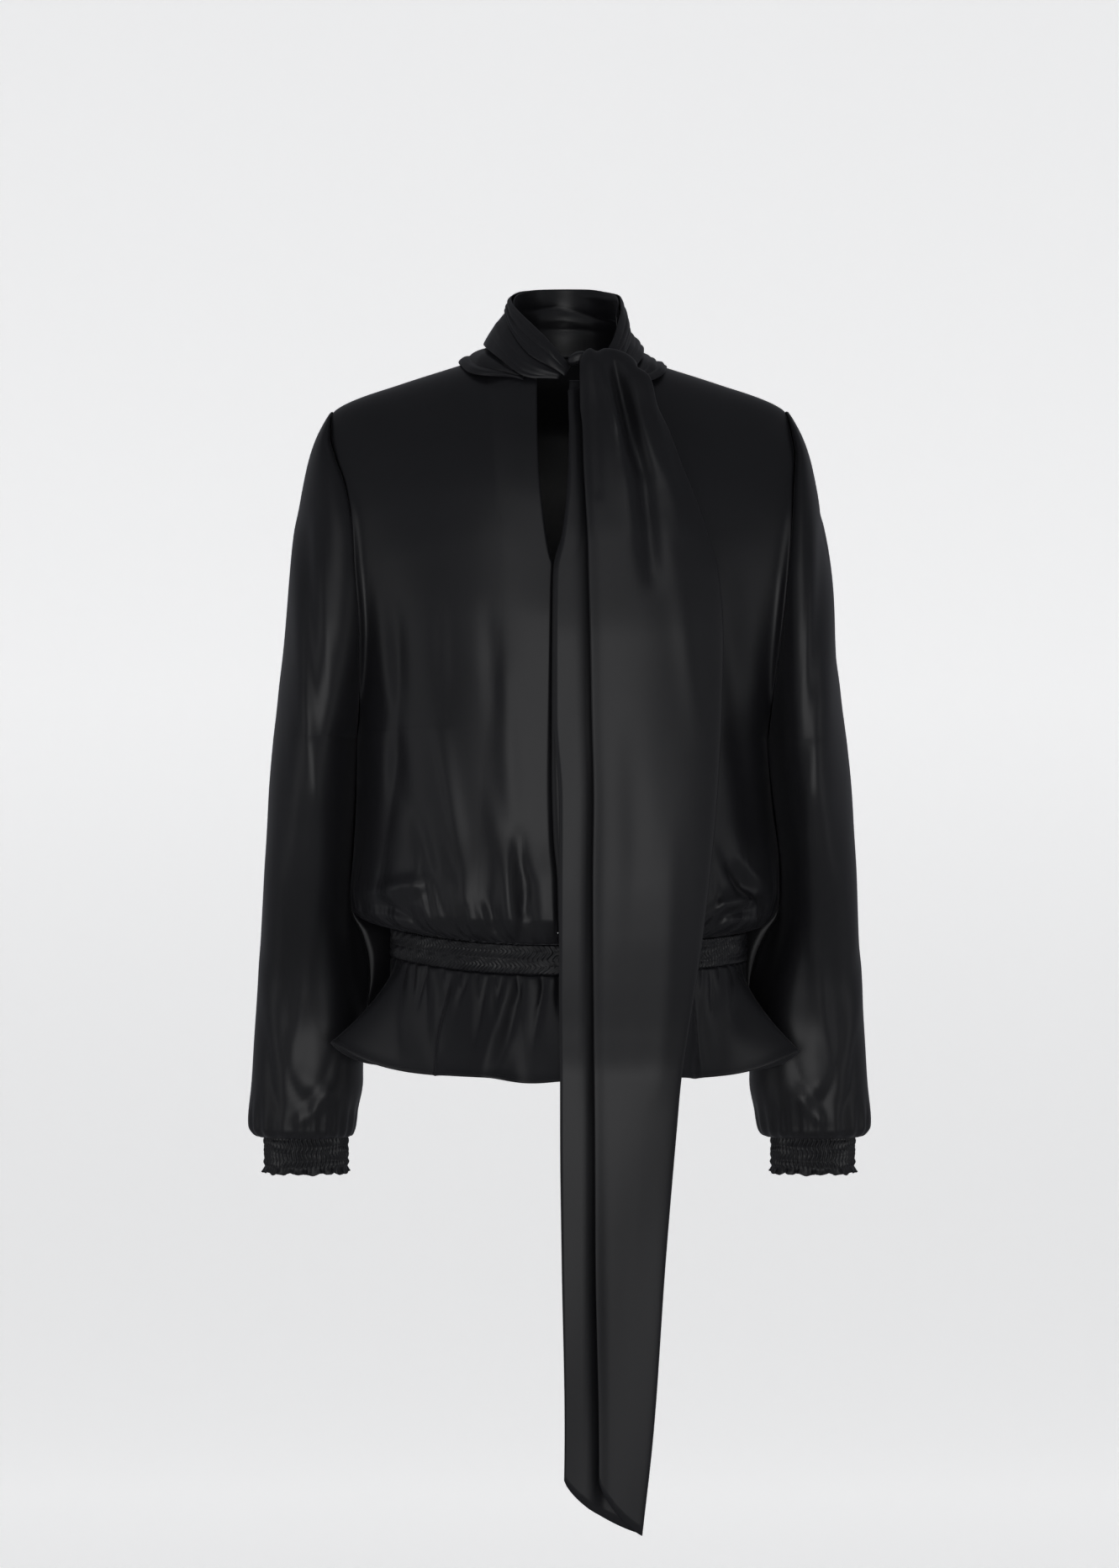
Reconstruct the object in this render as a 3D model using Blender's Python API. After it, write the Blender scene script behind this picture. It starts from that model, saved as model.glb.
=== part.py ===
"""A silk-satin blouse in its worn, hollow form: gathered body, full sleeves, smocked waist and cuffs, fluted
peplum and a scarf collar with one long end.

Sizes are in millimetres and become metres when a mesh is made. +Z is up, the front faces -Y, and right and left
are the wearer's: the right side lies at -X. The origin is midway between the shoulders, level with the base of
the neck. "drop" is a distance below the origin. Every table has named columns, a row for each section or fold.
"""
import math

import bpy
import numpy as np

MM = 0.001
WALL = 1.3
SEAM = 0.3
RIGHT, LEFT = -1, 1
FRONT, BACK = -1, 1

WAISTBAND_HEIGHT = 25.0
PEPLUM_LENGTH = 97.0
CUFF_HEIGHT = 37.0
SMOCKING_RISE = 0.9
WAIST_RIDGES = 50
CUFF_RIDGES = 34


def table(names, *rows):
    """One array for each named column."""
    return dict(zip(names.split(), np.array(rows, float).T))


def along(t, knots, values):
    """A smooth curve through a table's values, with no overshoot between its rows."""
    step = np.diff(knots)
    slope = np.diff(values) / step
    same = slope[:-1] * slope[1:] > 0
    before = np.where(same, slope[:-1], 1.0)
    after = np.where(same, slope[1:], 1.0)
    near = 2 * step[1:] + step[:-1]
    far = step[1:] + 2 * step[:-1]
    inner = np.where(same, (near + far) / (near / before + far / after), 0)
    tangent = np.concatenate([[slope[0]], inner, [slope[-1]]])
    t = np.clip(t, knots[0], knots[-1])
    i = np.clip(np.searchsorted(knots, t, side="right") - 1, 0, len(knots) - 2)
    h = step[i]
    s = (t - knots[i]) / h
    rise = values[i] + s * s * (3 - 2 * s) * (values[i + 1] - values[i])
    return rise + h * s * (1 - s) * ((1 - s) * tangent[i] - s * tangent[i + 1])


def column(rows, name, at):
    """A column of a table, read at fractional row numbers."""
    values = rows[name]
    return along(at, np.arange(len(values), dtype=float), values)


def place(x, y, z):
    return np.stack(np.broadcast_arrays(x, y, z), axis=-1)


# Body
# The edge is the armhole down to the underarm, then the side seam. share is how deep the edge lies, as a share of
# the depth at centre: 0 is the side itself. Below 1, square makes the section fuller towards its corner.
BODY = table(
    "drop right left share square",
    (44, 201, 200.5, 0.60, 1.0),
    (50, 202.5, 202, 0.60, 1.0),
    (69, 202, 205.5, 0.60, 1.0),
    (88, 197, 207.5, 0.62, 1.0),
    (113, 188, 205.5, 0.64, 1.0),
    (150, 181, 203, 0.66, 1.0),
    (190, 178, 199, 0.65, 0.99),
    (246, 174, 193, 0.58, 0.96),
    (290, 175, 188, 0.46, 0.92),
    (318, 177, 185.5, 0.31, 0.87),
    (332, 179, 184.5, 0.15, 0.83),
    (336, 180, 184.5, 0.0, 0.81),
    (390, 181, 189, 0.0, 0.80),
    (440, 184, 195.5, 0.0, 0.82),
    (470, 186.5, 196, 0.0, 0.85),
    (485, 185, 193, 0.0, 0.87),
    (496, 173, 184, 0.0, 0.90),
    (503, 149, 165, 0.0, 0.93),
)
BODY_ROWS = len(BODY["drop"]) - 1
UNDERARM_ROW = 11

CENTRE_FRONT = table(
    "drop depth",
    (0, 60),
    (21, 74),
    (50, 88),
    (88, 104),
    (133, 118),
    (186, 127),
    (235, 131),
    (300, 130),
    (420, 128),
    (460, 130),
    (492, 129),
    (505, 124),
    (515, 118),
)
CENTRE_BACK = table(
    "drop depth",
    (-20, 50),
    (-10, 57),
    (20, 79),
    (60, 96),
    (120, 105),
    (220, 104),
    (320, 98),
    (420, 97),
    (470, 101),
    (494, 99),
    (505, 93),
    (512, 86),
)
# The two front edges: apart at the keyhole, then seamed.
KEYHOLE = table(
    "drop right left",
    (0, -20.2, 8.4),
    (52, -19.6, 8.4),
    (95, -18.3, 7.6),
    (133, -14.9, 5.2),
    (160, -11.4, 1.6),
    (178, -7.9, -3.6),
    (186, -5.5, -5.2),
    (196, -6.1, -5.8),
    (360, -7.1, -6.8),
    (420, -5.6, -5.3),
    (460, -2.2, -1.9),
    (515, -1.4, -1.1),
)
SHOULDER = table(
    "x z",
    (66, 5),
    (91.5, -3),
    (142, -19),
    (190, -36),
    (203, -44),
    (215, -53),
)
NECK_X = 5.0
NECK_RADIUS = 66.0
NECK_RISE = {FRONT: 10.0, BACK: 28.0}
NECK_DIP = {FRONT: 36.0, BACK: 23.0}
SHOULDER_TO_BUST = {FRONT: 180.0, BACK: 150.0}
SHOULDER_ROUNDNESS = 0.45
CENTRE_BACK_X = 2.0
WAIST_DROP_FRONT = 514.7
WAIST_DROP_BACK = 511.0
WAIST_DROP_SIDE = {RIGHT: 503.0, LEFT: 507.0}

# Folds: each runs from a point to a point of the panel seen from in front, is this wide, and stands proud (above
# zero) or sinks in.
FRONT_FOLDS = table(
    "x0 drop0 x1 drop1 width depth",
    (-159, 215, -146, 330, 11, 2.0),
    (-147, 222, -143, 300, 10, -2.5),
    (-150, 318, -139, 385, 10, -3.0),
    (-103, 337, -85, 465, 9, 2.8),
    (-85, 465, -78, 500, 6, 3.0),
    (-48, 289, -40, 420, 10, 2.0),
    (-124, 410, -104, 490, 8, -4.0),
    (-35, 425, -31, 505, 7, -4.5),
    (-162, 470, -120, 461, 8, 3.5),
    (-171, 480, -126, 490, 6, -3.0),
    (148, 215, 160, 337, 14, -4.0),
    (160, 337, 173, 433, 12, -4.5),
    (176, 290, 184, 465, 9, 3.0),
    (148, 436, 181, 476, 9, -6.0),
    (132, 489, 150, 474, 8, 4.0),
    (150, 474, 176, 475, 8, 4.0),
)
BACK_FOLDS = table(
    "x0 drop0 x1 drop1 width depth",
    (-150, 230, -138, 420, 12, -3.5),
    (-118, 300, -104, 480, 9, 3.0),
    (-70, 260, -62, 470, 11, -2.5),
    (-24, 330, -20, 490, 9, 3.0),
    (28, 280, 24, 480, 11, -2.5),
    (74, 340, 68, 490, 9, 3.0),
    (112, 250, 104, 470, 11, -3.0),
    (156, 240, 150, 430, 12, -3.5),
    (-165, 478, -118, 466, 8, 3.5),
    (130, 470, 172, 480, 8, 3.5),
)
FOLD_SIDEWAYS = 0.8
GATHERS = {FRONT: 7.5, BACK: 8.5}
GATHER_DEPTH = 3.2
GATHER_TOP = 425.0
GATHER_DEEPEST = 498.0


def shoulder_height(x, face):
    """The top of the form across its width; inside the neck opening it is a guide that no cloth reaches."""
    outside = along(np.abs(x), SHOULDER["x"], SHOULDER["z"])
    inside = SHOULDER["z"][0] + NECK_RISE[face] * (1 - (x / SHOULDER["x"][0]) ** 2)
    return np.where(np.abs(x) < SHOULDER["x"][0], inside, outside)


def top_drop(x, face):
    """The neckline, then the shoulder seam."""
    across = np.clip(1 - ((x - NECK_X) / NECK_RADIUS) ** 2, 0, 1)
    return NECK_DIP[face] * np.sqrt(across) - shoulder_height(x, face)


def waist_drop(u, side, face):
    centre = WAIST_DROP_FRONT if face == FRONT else WAIST_DROP_BACK
    low = np.cos(math.pi / 2 * u) ** 2
    return WAIST_DROP_SIDE[side] + (centre - WAIST_DROP_SIDE[side]) * low


def shoulder_curve(fall):
    return np.sin(math.pi / 2 * np.clip(fall, 0.0, 1.0)) ** SHOULDER_ROUNDNESS


def folds(rows, x, drop):
    """The sum of a table's folds at points of a panel."""
    total = np.zeros(np.broadcast(x, drop).shape)
    for x0, drop0, x1, drop1, width, depth in zip(*rows.values()):
        run = np.array([x1 - x0, drop1 - drop0])
        length = math.hypot(*run)
        on = ((x - x0) * run[0] + (drop - drop0) * run[1]) / length**2
        off = ((x - x0) * run[1] - (drop - drop0) * run[0]) / length
        past = np.maximum(np.abs(on - 0.5) - 0.5, 0) * length
        swell = 0.55 + 0.45 * np.sin(math.pi * np.clip(on, 0, 1))
        total += depth * swell * np.exp(-(off / width) ** 2 - (past / (1.6 * width)) ** 2)
    return total


def gathers(u, drop, face):
    """Uneven ripples that grow towards the waist and are drawn flat where they are sewn."""
    grow = np.clip((drop - GATHER_TOP) / (GATHER_DEEPEST - GATHER_TOP), 0, 1) ** 1.6
    sewn = 1 - 0.6 * np.clip((drop - GATHER_DEEPEST) / 16, 0, 1)
    ripple = np.cos(2 * math.pi * GATHERS[face] * u + 1.1 * np.sin(7.0 * u) + 0.5)
    uneven = 0.75 + 0.25 * np.sin(13.0 * u + 1.0)
    return GATHER_DEPTH * grow * sewn * ripple * uneven


def body(u, v, side, face, creased=True):
    """A point of the body: u runs from centre to edge, v from the shoulder to the waist."""
    row = v * BODY_ROWS
    edge = column(BODY, "right" if side == RIGHT else "left", row) * side
    turn = np.arccos(np.clip(column(BODY, "share", row), 0, 1))
    fall = (column(BODY, "drop", row) - BODY["drop"][0]) / (BODY["drop"][-1] - BODY["drop"][0])
    first_edge = BODY["right" if side == RIGHT else "left"][0] * side
    first_turn = math.acos(BODY["share"][0])
    depths = CENTRE_FRONT if face == FRONT else CENTRE_BACK

    def centre_x(drop):
        if face == BACK:
            return np.full_like(drop, CENTRE_BACK_X)
        return along(drop, KEYHOLE["drop"], KEYHOLE["right" if side == RIGHT else "left"])

    first_centre = centre_x(np.array([21.0]))[0]
    first_x = first_centre + (first_edge - first_centre) * np.sin(first_turn * u) / math.sin(first_turn)
    start = top_drop(first_x, face)
    drop = start + (waist_drop(u, side, face) - start) * fall
    centre_start = top_drop(np.full_like(u, first_centre), face)
    centre_end = waist_drop(np.zeros_like(u), side, face)
    centre_drop = centre_start + (centre_end - centre_start) * fall
    centre = centre_x(centre_drop)
    swing = turn * u
    across = np.clip(np.sin(swing) / np.sin(turn), 0, 1) ** column(BODY, "square", row)
    x = centre + (edge - centre) * across
    rounding = shoulder_curve((shoulder_height(x, face) + drop) / SHOULDER_TO_BUST[face])
    rounding /= shoulder_curve((shoulder_height(centre, face) + centre_drop) / SHOULDER_TO_BUST[face])
    y = face * along(centre_drop, depths["drop"], depths["depth"]) * np.cos(swing) * rounding
    if creased:
        rows = FRONT_FOLDS if face == FRONT else BACK_FOLDS
        calm = (1 - u**8) * (1 - (1 - np.clip(u, 0, 1)) ** 24 * (face == FRONT))
        out = (folds(rows, x, drop) + gathers(u, drop, face)) * calm
        x = x + out * side * np.sin(swing) * FOLD_SIDEWAYS
        y = y + out * face * np.cos(swing)
    return place(x, y + face * SEAM / 2, -drop)


def waist(a):
    """The waist seam all round: a is 0 at centre front, 1 at the left side, 2 at centre back, 3 at the right."""
    a = np.mod(a, 4.0)
    out = np.zeros(np.shape(a) + (3,))
    for quarter, side, face in ((0, LEFT, FRONT), (1, LEFT, BACK), (2, RIGHT, BACK), (3, RIGHT, FRONT)):
        here = (a >= quarter) & (a < quarter + 1)
        u = a[here] - quarter
        u = u if quarter % 2 == 0 else 1 - u
        out[here] = body(u, np.ones_like(u), side, face, creased=False)
    return out


def waistband(a, v):
    seam = waist(a)
    seam[..., 2] -= SEAM + v * WAISTBAND_HEIGHT
    return seam


# Peplum
PEPLUM_CENTRE_X = 6.0
PEPLUM_HALF_WIDTH = 160.0
PEPLUM_FRONT = 150.0
PEPLUM_BACK = 122.0
FLUTES = table(
    "turn out width flatness",
    (-112, 26, 10, 2),
    (-72, 58, 9, 2),
    (-52, -7, 6, 2),
    (-33, 11, 14, 5),
    (-13, -5, 7, 2),
    (4, 6, 9, 2),
    (22, -5, 7, 2),
    (37, 10, 9, 2),
    (50, -7, 6, 2),
    (72, 56, 9, 2),
    (112, 26, 10, 2),
    (128, -8, 8, 2),
    (145, 13, 9, 2),
    (161, -8, 8, 2),
    (179, 13, 10, 2),
    (-163, -8, 8, 2),
    (-146, 12, 9, 2),
    (-127, -8, 8, 2),
)


def peplum(a, v):
    """Flares from the waistband. A flute that stands further out hangs less far down, as the cloth is one length."""
    top = waist(a)
    top[..., 2] -= 2 * SEAM + WAISTBAND_HEIGHT
    around = a * math.pi / 2
    depth = np.where(np.cos(around) > 0, PEPLUM_FRONT, PEPLUM_BACK)
    hem_x = PEPLUM_CENTRE_X + PEPLUM_HALF_WIDTH * np.sin(around)
    hem_y = -depth * np.cos(around)
    turn = np.degrees(np.arctan2(hem_x - PEPLUM_CENTRE_X, -hem_y))
    out = np.zeros_like(turn)
    for at, reach, width, flatness in zip(*FLUTES.values()):
        off = np.abs((turn - at + 180) % 360 - 180)
        out += reach * np.exp(-((off / width) ** flatness))
    away = np.hypot(hem_x - PEPLUM_CENTRE_X, hem_y)
    spread = v**0.9
    flute = out * v**1.25
    x = top[..., 0] + (hem_x - top[..., 0]) * spread + flute * (hem_x - PEPLUM_CENTRE_X) / away
    y = top[..., 1] + (hem_y - top[..., 1]) * spread + flute * hem_y / away
    sideways = np.hypot(x - top[..., 0], y - top[..., 1])
    length = PEPLUM_LENGTH * v
    down = np.sqrt(np.maximum(length**2 - sideways**2, (0.55 * length) ** 2))
    return place(x, y, top[..., 2] - down)


# Sleeves
# Above the underarm a sleeve is open towards the body, from the front edge of the armhole round to the back. Its
# section is this much shallower than the body's, and its rows are the body's own.
SLEEVE_SHALLOWER = 1.42
SLEEVE_CAP = table(
    "outer",
    (203.2,),
    (207,),
    (217,),
    (223.5,),
    (229,),
    (235.2,),
    (240.3,),
    (245.4,),
    (249.4,),
    (252,),
    (253.4,),
    (253.8,),
)
# Below it a sleeve is a closed tube about the depth "middle". tuck draws it in from the full sleeve to the cuff.
SLEEVE_TUBE = table(
    "drop outer right left front back middle tuck",
    (336, 253.8, 180.3, 184.8, 91.3, 69, 0, 0),
    (375, 257.0, 182.5, 189.5, 89.4, 70.5, 0, 0),
    (415, 259.5, 185.0, 194.5, 82.5, 75, 2, 0),
    (455, 263.0, 188.0, 198.5, 73, 78, 5, 0),
    (490, 265.5, 189.5, 198.5, 63, 78, 9, 0),
    (525, 267.8, 187.0, 192.0, 56, 72, 13, 0),
    (560, 270.4, 181.0, 181.0, 51, 64, 16, 0),
    (600, 273.4, 176.0, 172.5, 48, 60, 18, 0),
    (640, 275.8, 176.0, 170.0, 48, 58, 18, 0),
    (668, 278.2, 181.0, 175.0, 47, 56, 18, 0),
    (681, 278.4, 182.5, 177.0, 46, 55, 18, 0.03),
    (687, 277.0, 183.5, 178.0, 46, 55, 18, 0.16),
    (690, 276.0, 184.0, 179.0, 46, 55, 18, 0.5),
    (689, 276.0, 184.0, 179.0, 46, 55, 18, 0.85),
    (687, 276.0, 184.0, 179.0, 46, 55, 18, 1.0),
)
SLEEVE_ROWS = UNDERARM_ROW + len(SLEEVE_TUBE["drop"]) - 1
SLEEVE_FIRST_ROW = 0.15
CAP_EASE = 1.4
# The tube starts where this side's underarm lies, and has its table's drops after this many rows.
UNDERARM_SETTLES = 4
# The inner half of a sleeve's section flattens against the body from this row down.
FLATTENS_FROM_ROW = 6
INNER_FLATNESS = 0.8
SLEEVE_FOLDS = table(
    "x0 drop0 x1 drop1 width depth",
    (233, 160, 222, 304, 8, 3.5),
    (222, 304, 203, 466, 9, 3.0),
    (222, 150, 214, 330, 8, -3.5),
    (213, 150, 203, 280, 7, 3.0),
    (243, 300, 250, 520, 14, 2.5),
    (228, 480, 236, 610, 12, -3.0),
    (226, 636, 196, 662, 9, 3.0),
    (262, 560, 240, 640, 12, 3.0),
)
# The back has the front's folds, moved by this much across and down; the left's lie further out.
SLEEVE_BACK_SHIFT = (12.0, 25.0)
SLEEVE_FOLD_BLEND = 60.0
SLEEVE_FOLD_SHIFT = {RIGHT: 0.0, LEFT: 9.0}
CUFF_X = 227.0
CUFF_Y = 18.0
CUFF_HALF_WIDTH = 36.0
CUFF_HALF_DEPTH = 33.0
CUFF_TOP_DROP = 685.5
CUFF_CLEARANCE = 2.0


def underarm_drop(side):
    edge = body(np.ones(1), np.full(1, UNDERARM_ROW / BODY_ROWS), side, FRONT, creased=False)
    return -edge[0, 2]


def sleeve(turning, v, side):
    """A point of a sleeve: turning runs 0 to 1 from the front of the armhole round the outside to its back."""
    row = SLEEVE_FIRST_ROW + v * (SLEEVE_ROWS - SLEEVE_FIRST_ROW)
    in_cap = row < UNDERARM_ROW
    cap_row = np.minimum(row, UNDERARM_ROW)
    tube_row = np.maximum(row - UNDERARM_ROW, 0)
    edge = np.ones_like(row)
    front_edge = body(edge, cap_row / BODY_ROWS, side, FRONT, creased=False)
    back_edge = body(edge, cap_row / BODY_ROWS, side, BACK, creased=False)
    rise = column(BODY, "share", cap_row) * SLEEVE_SHALLOWER
    turn = np.arcsin(rise)
    seam_x = np.abs(front_edge[..., 0]) + SEAM + CAP_EASE * np.clip(1 - cap_row / 3, 0, 1)
    cap_outer = column(SLEEVE_CAP, "outer", cap_row)
    tube_outer = column(SLEEVE_TUBE, "outer", tube_row)
    tube_inner = column(SLEEVE_TUBE, "right" if side == RIGHT else "left", tube_row)
    rise = np.maximum(rise, 1e-9)
    cap_front = (-front_edge[..., 1] - SEAM / 2) / rise
    cap_back = (back_edge[..., 1] - SEAM / 2) / rise
    flattened = np.clip((row - FLATTENS_FROM_ROW) / (UNDERARM_ROW - FLATTENS_FROM_ROW), 0, 1)
    flatness = 1 - (1 - INNER_FLATNESS) * flattened
    cap_half_width = (cap_outer - seam_x) / (1 + np.cos(turn) ** flatness)
    half_width = np.where(in_cap, cap_half_width, (tube_outer - tube_inner) / 2)
    outer = np.where(in_cap, cap_outer, tube_outer)
    front = np.where(in_cap, cap_front, column(SLEEVE_TUBE, "front", tube_row))
    back = np.where(in_cap, cap_back, column(SLEEVE_TUBE, "back", tube_row))
    middle_x = outer - half_width
    middle_y = np.where(in_cap, 0.0, column(SLEEVE_TUBE, "middle", tube_row))
    angle = turn + turning * (2 * math.pi - 2 * turn)
    lean = np.cos(angle)
    flat = np.where(lean > 0, np.abs(lean) ** flatness, lean)
    x = middle_x - half_width * flat
    depth = np.where(np.sin(angle) > 0, front, back)
    y = middle_y - depth * np.sin(angle)
    tuck = column(SLEEVE_TUBE, "tuck", tube_row)
    x = x + (CUFF_X - (CUFF_HALF_WIDTH + CUFF_CLEARANCE) * lean - x) * tuck
    y = y + (CUFF_Y - (CUFF_HALF_DEPTH + CUFF_CLEARANCE) * np.sin(angle) - y) * tuck
    lower = (underarm_drop(side) - SLEEVE_TUBE["drop"][0]) * np.clip(1 - tube_row / UNDERARM_SETTLES, 0, 1)
    drop = np.where(in_cap, -front_edge[..., 2], column(SLEEVE_TUBE, "drop", tube_row) + lower)
    fade = np.sin(math.pi * np.clip(turning, 0, 1)) * (1 - tuck)
    behind = np.clip(0.5 + y / SLEEVE_FOLD_BLEND, 0, 1)
    folds_x = x - SLEEVE_FOLD_SHIFT[side] + SLEEVE_BACK_SHIFT[0] * behind
    out = folds(SLEEVE_FOLDS, folds_x, drop + SLEEVE_BACK_SHIFT[1] * behind) * fade
    x = x - out * lean
    y = y - out * np.sin(angle)
    return place(side * x, y + SEAM * (turning - 0.5), -drop)


def cuff(a, v, side):
    angle = a * math.pi / 2
    flare = 1 + 0.05 * np.clip(v - 0.8, 0, 1) / 0.2
    x = CUFF_X + CUFF_HALF_WIDTH * flare * np.sin(angle)
    y = CUFF_Y - CUFF_HALF_DEPTH * flare * np.cos(angle)
    return place(side * x, y, -CUFF_TOP_DROP - v * CUFF_HEIGHT + 0 * a)


# Collar
# Each turn of the scarf is a strip between two edges. Its rows run from the front, over the right shoulder, round
# the back and over the left shoulder, with the upper edge, then the lower edge, and how far it bellies out.
COLLAR_COLUMNS = "top_x top_y top_z low_x low_y low_z belly"
WRAP_UPPER = table(
    COLLAR_COLUMNS,
    (10, -74, -9, 5, -79, -18, 0),
    (-7, -68, 12, -8, -78, -10.5, 2.5),
    (-21, -53, 27.5, -25.5, -69, 0, 2.5),
    (-36, -31, 44, -38, -53, 15, 2.5),
    (-42, -14, 53, -46, -33, 32, 2),
    (-43.5, 3, 60, -49.5, -8, 45, 1.5),
    (-36, 32, 68, -45, 29, 48, 2),
    (-18, 51, 71.5, -22, 54, 47, 2),
    (6, 58, 72.5, 6, 63, 46, 2),
    (30, 51, 71, 34, 54, 44, 2),
    (46, 32, 67, 54, 33, 42, 2),
    (54.5, 3, 60.5, 62.5, 0, 31, 2),
    (55, -19, 48, 64, -21, 21, 2),
    (51.5, -38, 32, 61, -42, 9, 2),
    (47, -52, 17, 56, -58, -1, 1.5),
    (42, -61, 7, 49, -67, -7, 0.5),
)
WRAP_LOWER = table(
    COLLAR_COLUMNS,
    (2, -75.5, -13, -0.5, -77.5, -20.5, 0),
    (-9, -73, -5.5, -21, -79, -20.5, 1.5),
    (-24, -64, 4, -33, -78, -17.5, 2),
    (-36, -48, 19, -47, -68, -6.5, 2.5),
    (-43.5, -29, 35, -59, -49, 4, 2.5),
    (-46.5, -6, 47, -67, -25, 13, 2),
    (-45, 8, 49, -68.5, 4, 17, 2),
    (-38, 30, 49, -57, 42, 20, 2),
    (-19, 49.5, 48, -29, 66, 21.5, 2),
    (6, 57.5, 47.5, 6, 74, 22, 2),
    (30, 50, 45.5, 39, 66, 21, 2),
    (46, 31, 43, 66, 42, 19, 2),
    (57, 4, 33, 76, 4, 13, 3),
    (57, -17, 22, 75, -28, 6, 2),
    (54, -37, 10, 70, -50, -4, 1.5),
    (48.5, -55, -1, 61, -66, -12, 0.5),
)
DRAPE = table(
    COLLAR_COLUMNS,
    (-31, -71, -15, -32, -76, -20.5, 0),
    (-43, -62, -8, -46, -70, -18.5, 3),
    (-53, -45, 2, -64, -64, -17, 5),
    (-60.5, -24, 11, -80, -50, -13, 6),
    (-61.5, 4, 15.5, -90, -12, -1, 7),
    (-52, 37, 18, -83, 36, -5, 6),
    (-27, 59, 20, -50, 70, -10, 5),
    (6, 67.5, 21, 6, 82, -12, 5),
    (37, 59, 19.5, 58, 71, -10, 5),
    (61, 36, 17, 89, 38, -6, 5),
    (73, 4, 10.5, 96, -4, -4, 5),
    (69, -26, 4, 94, -42, -11, 6),
    (64, -46, -6, 85, -58, -19, 5),
    (56, -62, -14, 73, -68, -23, 2),
)
STAND = table(
    COLLAR_COLUMNS,
    (-39, -26, 38, -50, -30, 8, -1),
    (-41, -6, 50, -60, -4, 11.5, -3),
    (-37.5, 12, 60, -57, 19, 15.5, -4),
    (-29, 33, 65, -46, 38, 15.5, -4),
    (-15, 47, 67, -23, 52.5, 10.6, -2.5),
    (6, 53, 68, 5, 57, 10.4, -1.5),
    (26, 47, 67, 34, 52.5, 11.5, -3),
    (39, 33, 65, 56, 38, 15.5, -5),
    (48, 12, 57, 67, 19, 14, -6),
    (50, -6, 49, 70.5, -4, 11, -6),
    (48, -26, 34, 64, -32, 2, -4),
)


def strip(rows, u, v):
    """A point of a turn of the collar: u runs along it, v from its upper to its lower edge."""
    row = u * (len(rows["top_x"]) - 1)
    top = place(*(column(rows, name, row) for name in ("top_x", "top_y", "top_z")))
    low = place(*(column(rows, name, row) for name in ("low_x", "low_y", "low_z")))
    point = top + (low - top) * v[..., None]
    away = point[..., :2] - np.array([NECK_X, 0.0])
    away /= np.linalg.norm(away, axis=-1, keepdims=True)
    belly = column(rows, "belly", row) * np.sin(math.pi * np.clip(v, 0, 1)) ** 0.8
    point[..., :2] += away * belly[..., None]
    return point


KNOT_CENTRE = (16.0, -75.6, -2.2)
KNOT_RADII = (9.0, 5.5, 6.0)
KNOT_TWIST = 0.35

# Sash
# One wide strip folded in half down its length: the fold is its left edge as worn, the front layer is narrower
# than the one behind it. wrap is how far the fold lies back round the body.
SASH = table(
    "drop front fold behind depth gap wrap",
    (4, 17.5, 68, 9.0, 88, 4, 0),
    (20, 17.5, 79.5, 7.6, 95, 5, 3),
    (45, 17.8, 85.5, 7.6, 104, 6, 7),
    (66, 19.9, 95, 8.3, 112, 6, 10),
    (94, 20.6, 105, 8.3, 122, 6, 13),
    (135, 22.7, 121, 5.4, 134, 6, 17),
    (164, 24.2, 130, 1.8, 141, 6, 19),
    (193, 24.9, 138, -4.2, 145, 6, 20),
    (250, 26.3, 142, -5.2, 149, 6, 20),
    (315, 27.5, 140.4, -5.2, 149, 6, 19),
    (388, 29.2, 136.4, -0.6, 149, 6, 17),
    (460, 28.5, 129.6, -0.4, 150, 6, 14),
    (505, 28.6, 124, -0.4, 153, 6, 12),
    (545, 28.9, 118, -0.4, 158, 6, 8),
    (590, 29.2, 110.4, 0, 166, 6, 5),
    (629, 29.6, 104.3, 0.4, 171, 6, 4),
    (669, 30, 100.7, 0.4, 171, 6, 4),
    (785, 30.7, 91, 1.8, 168, 6, 3),
    (929, 33.6, 80.9, 4.3, 164, 6, 2),
    (1019, 34, 71, 3, 162, 5.5, 1),
)
SASH_FOLD_AT = 0.53
SASH_WALL = 1.2
SASH_POINT_RISE = 47.0
SASH_ROLL = 0.04
SASH_FOLDS = table(
    "x0 drop0 x1 drop1 width depth",
    (34, 8, 48, 60, 6, 3.5),
    (48, 60, 66, 150, 8, 2.5),
    (56, 22, 70, 100, 6, -5.0),
    (70, 100, 80, 190, 9, -3.5),
    (70, 12, 88, 70, 7, 3.5),
    (88, 70, 104, 150, 9, 2.5),
    (30, 20, 33, 120, 5, -2.0),
)


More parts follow.
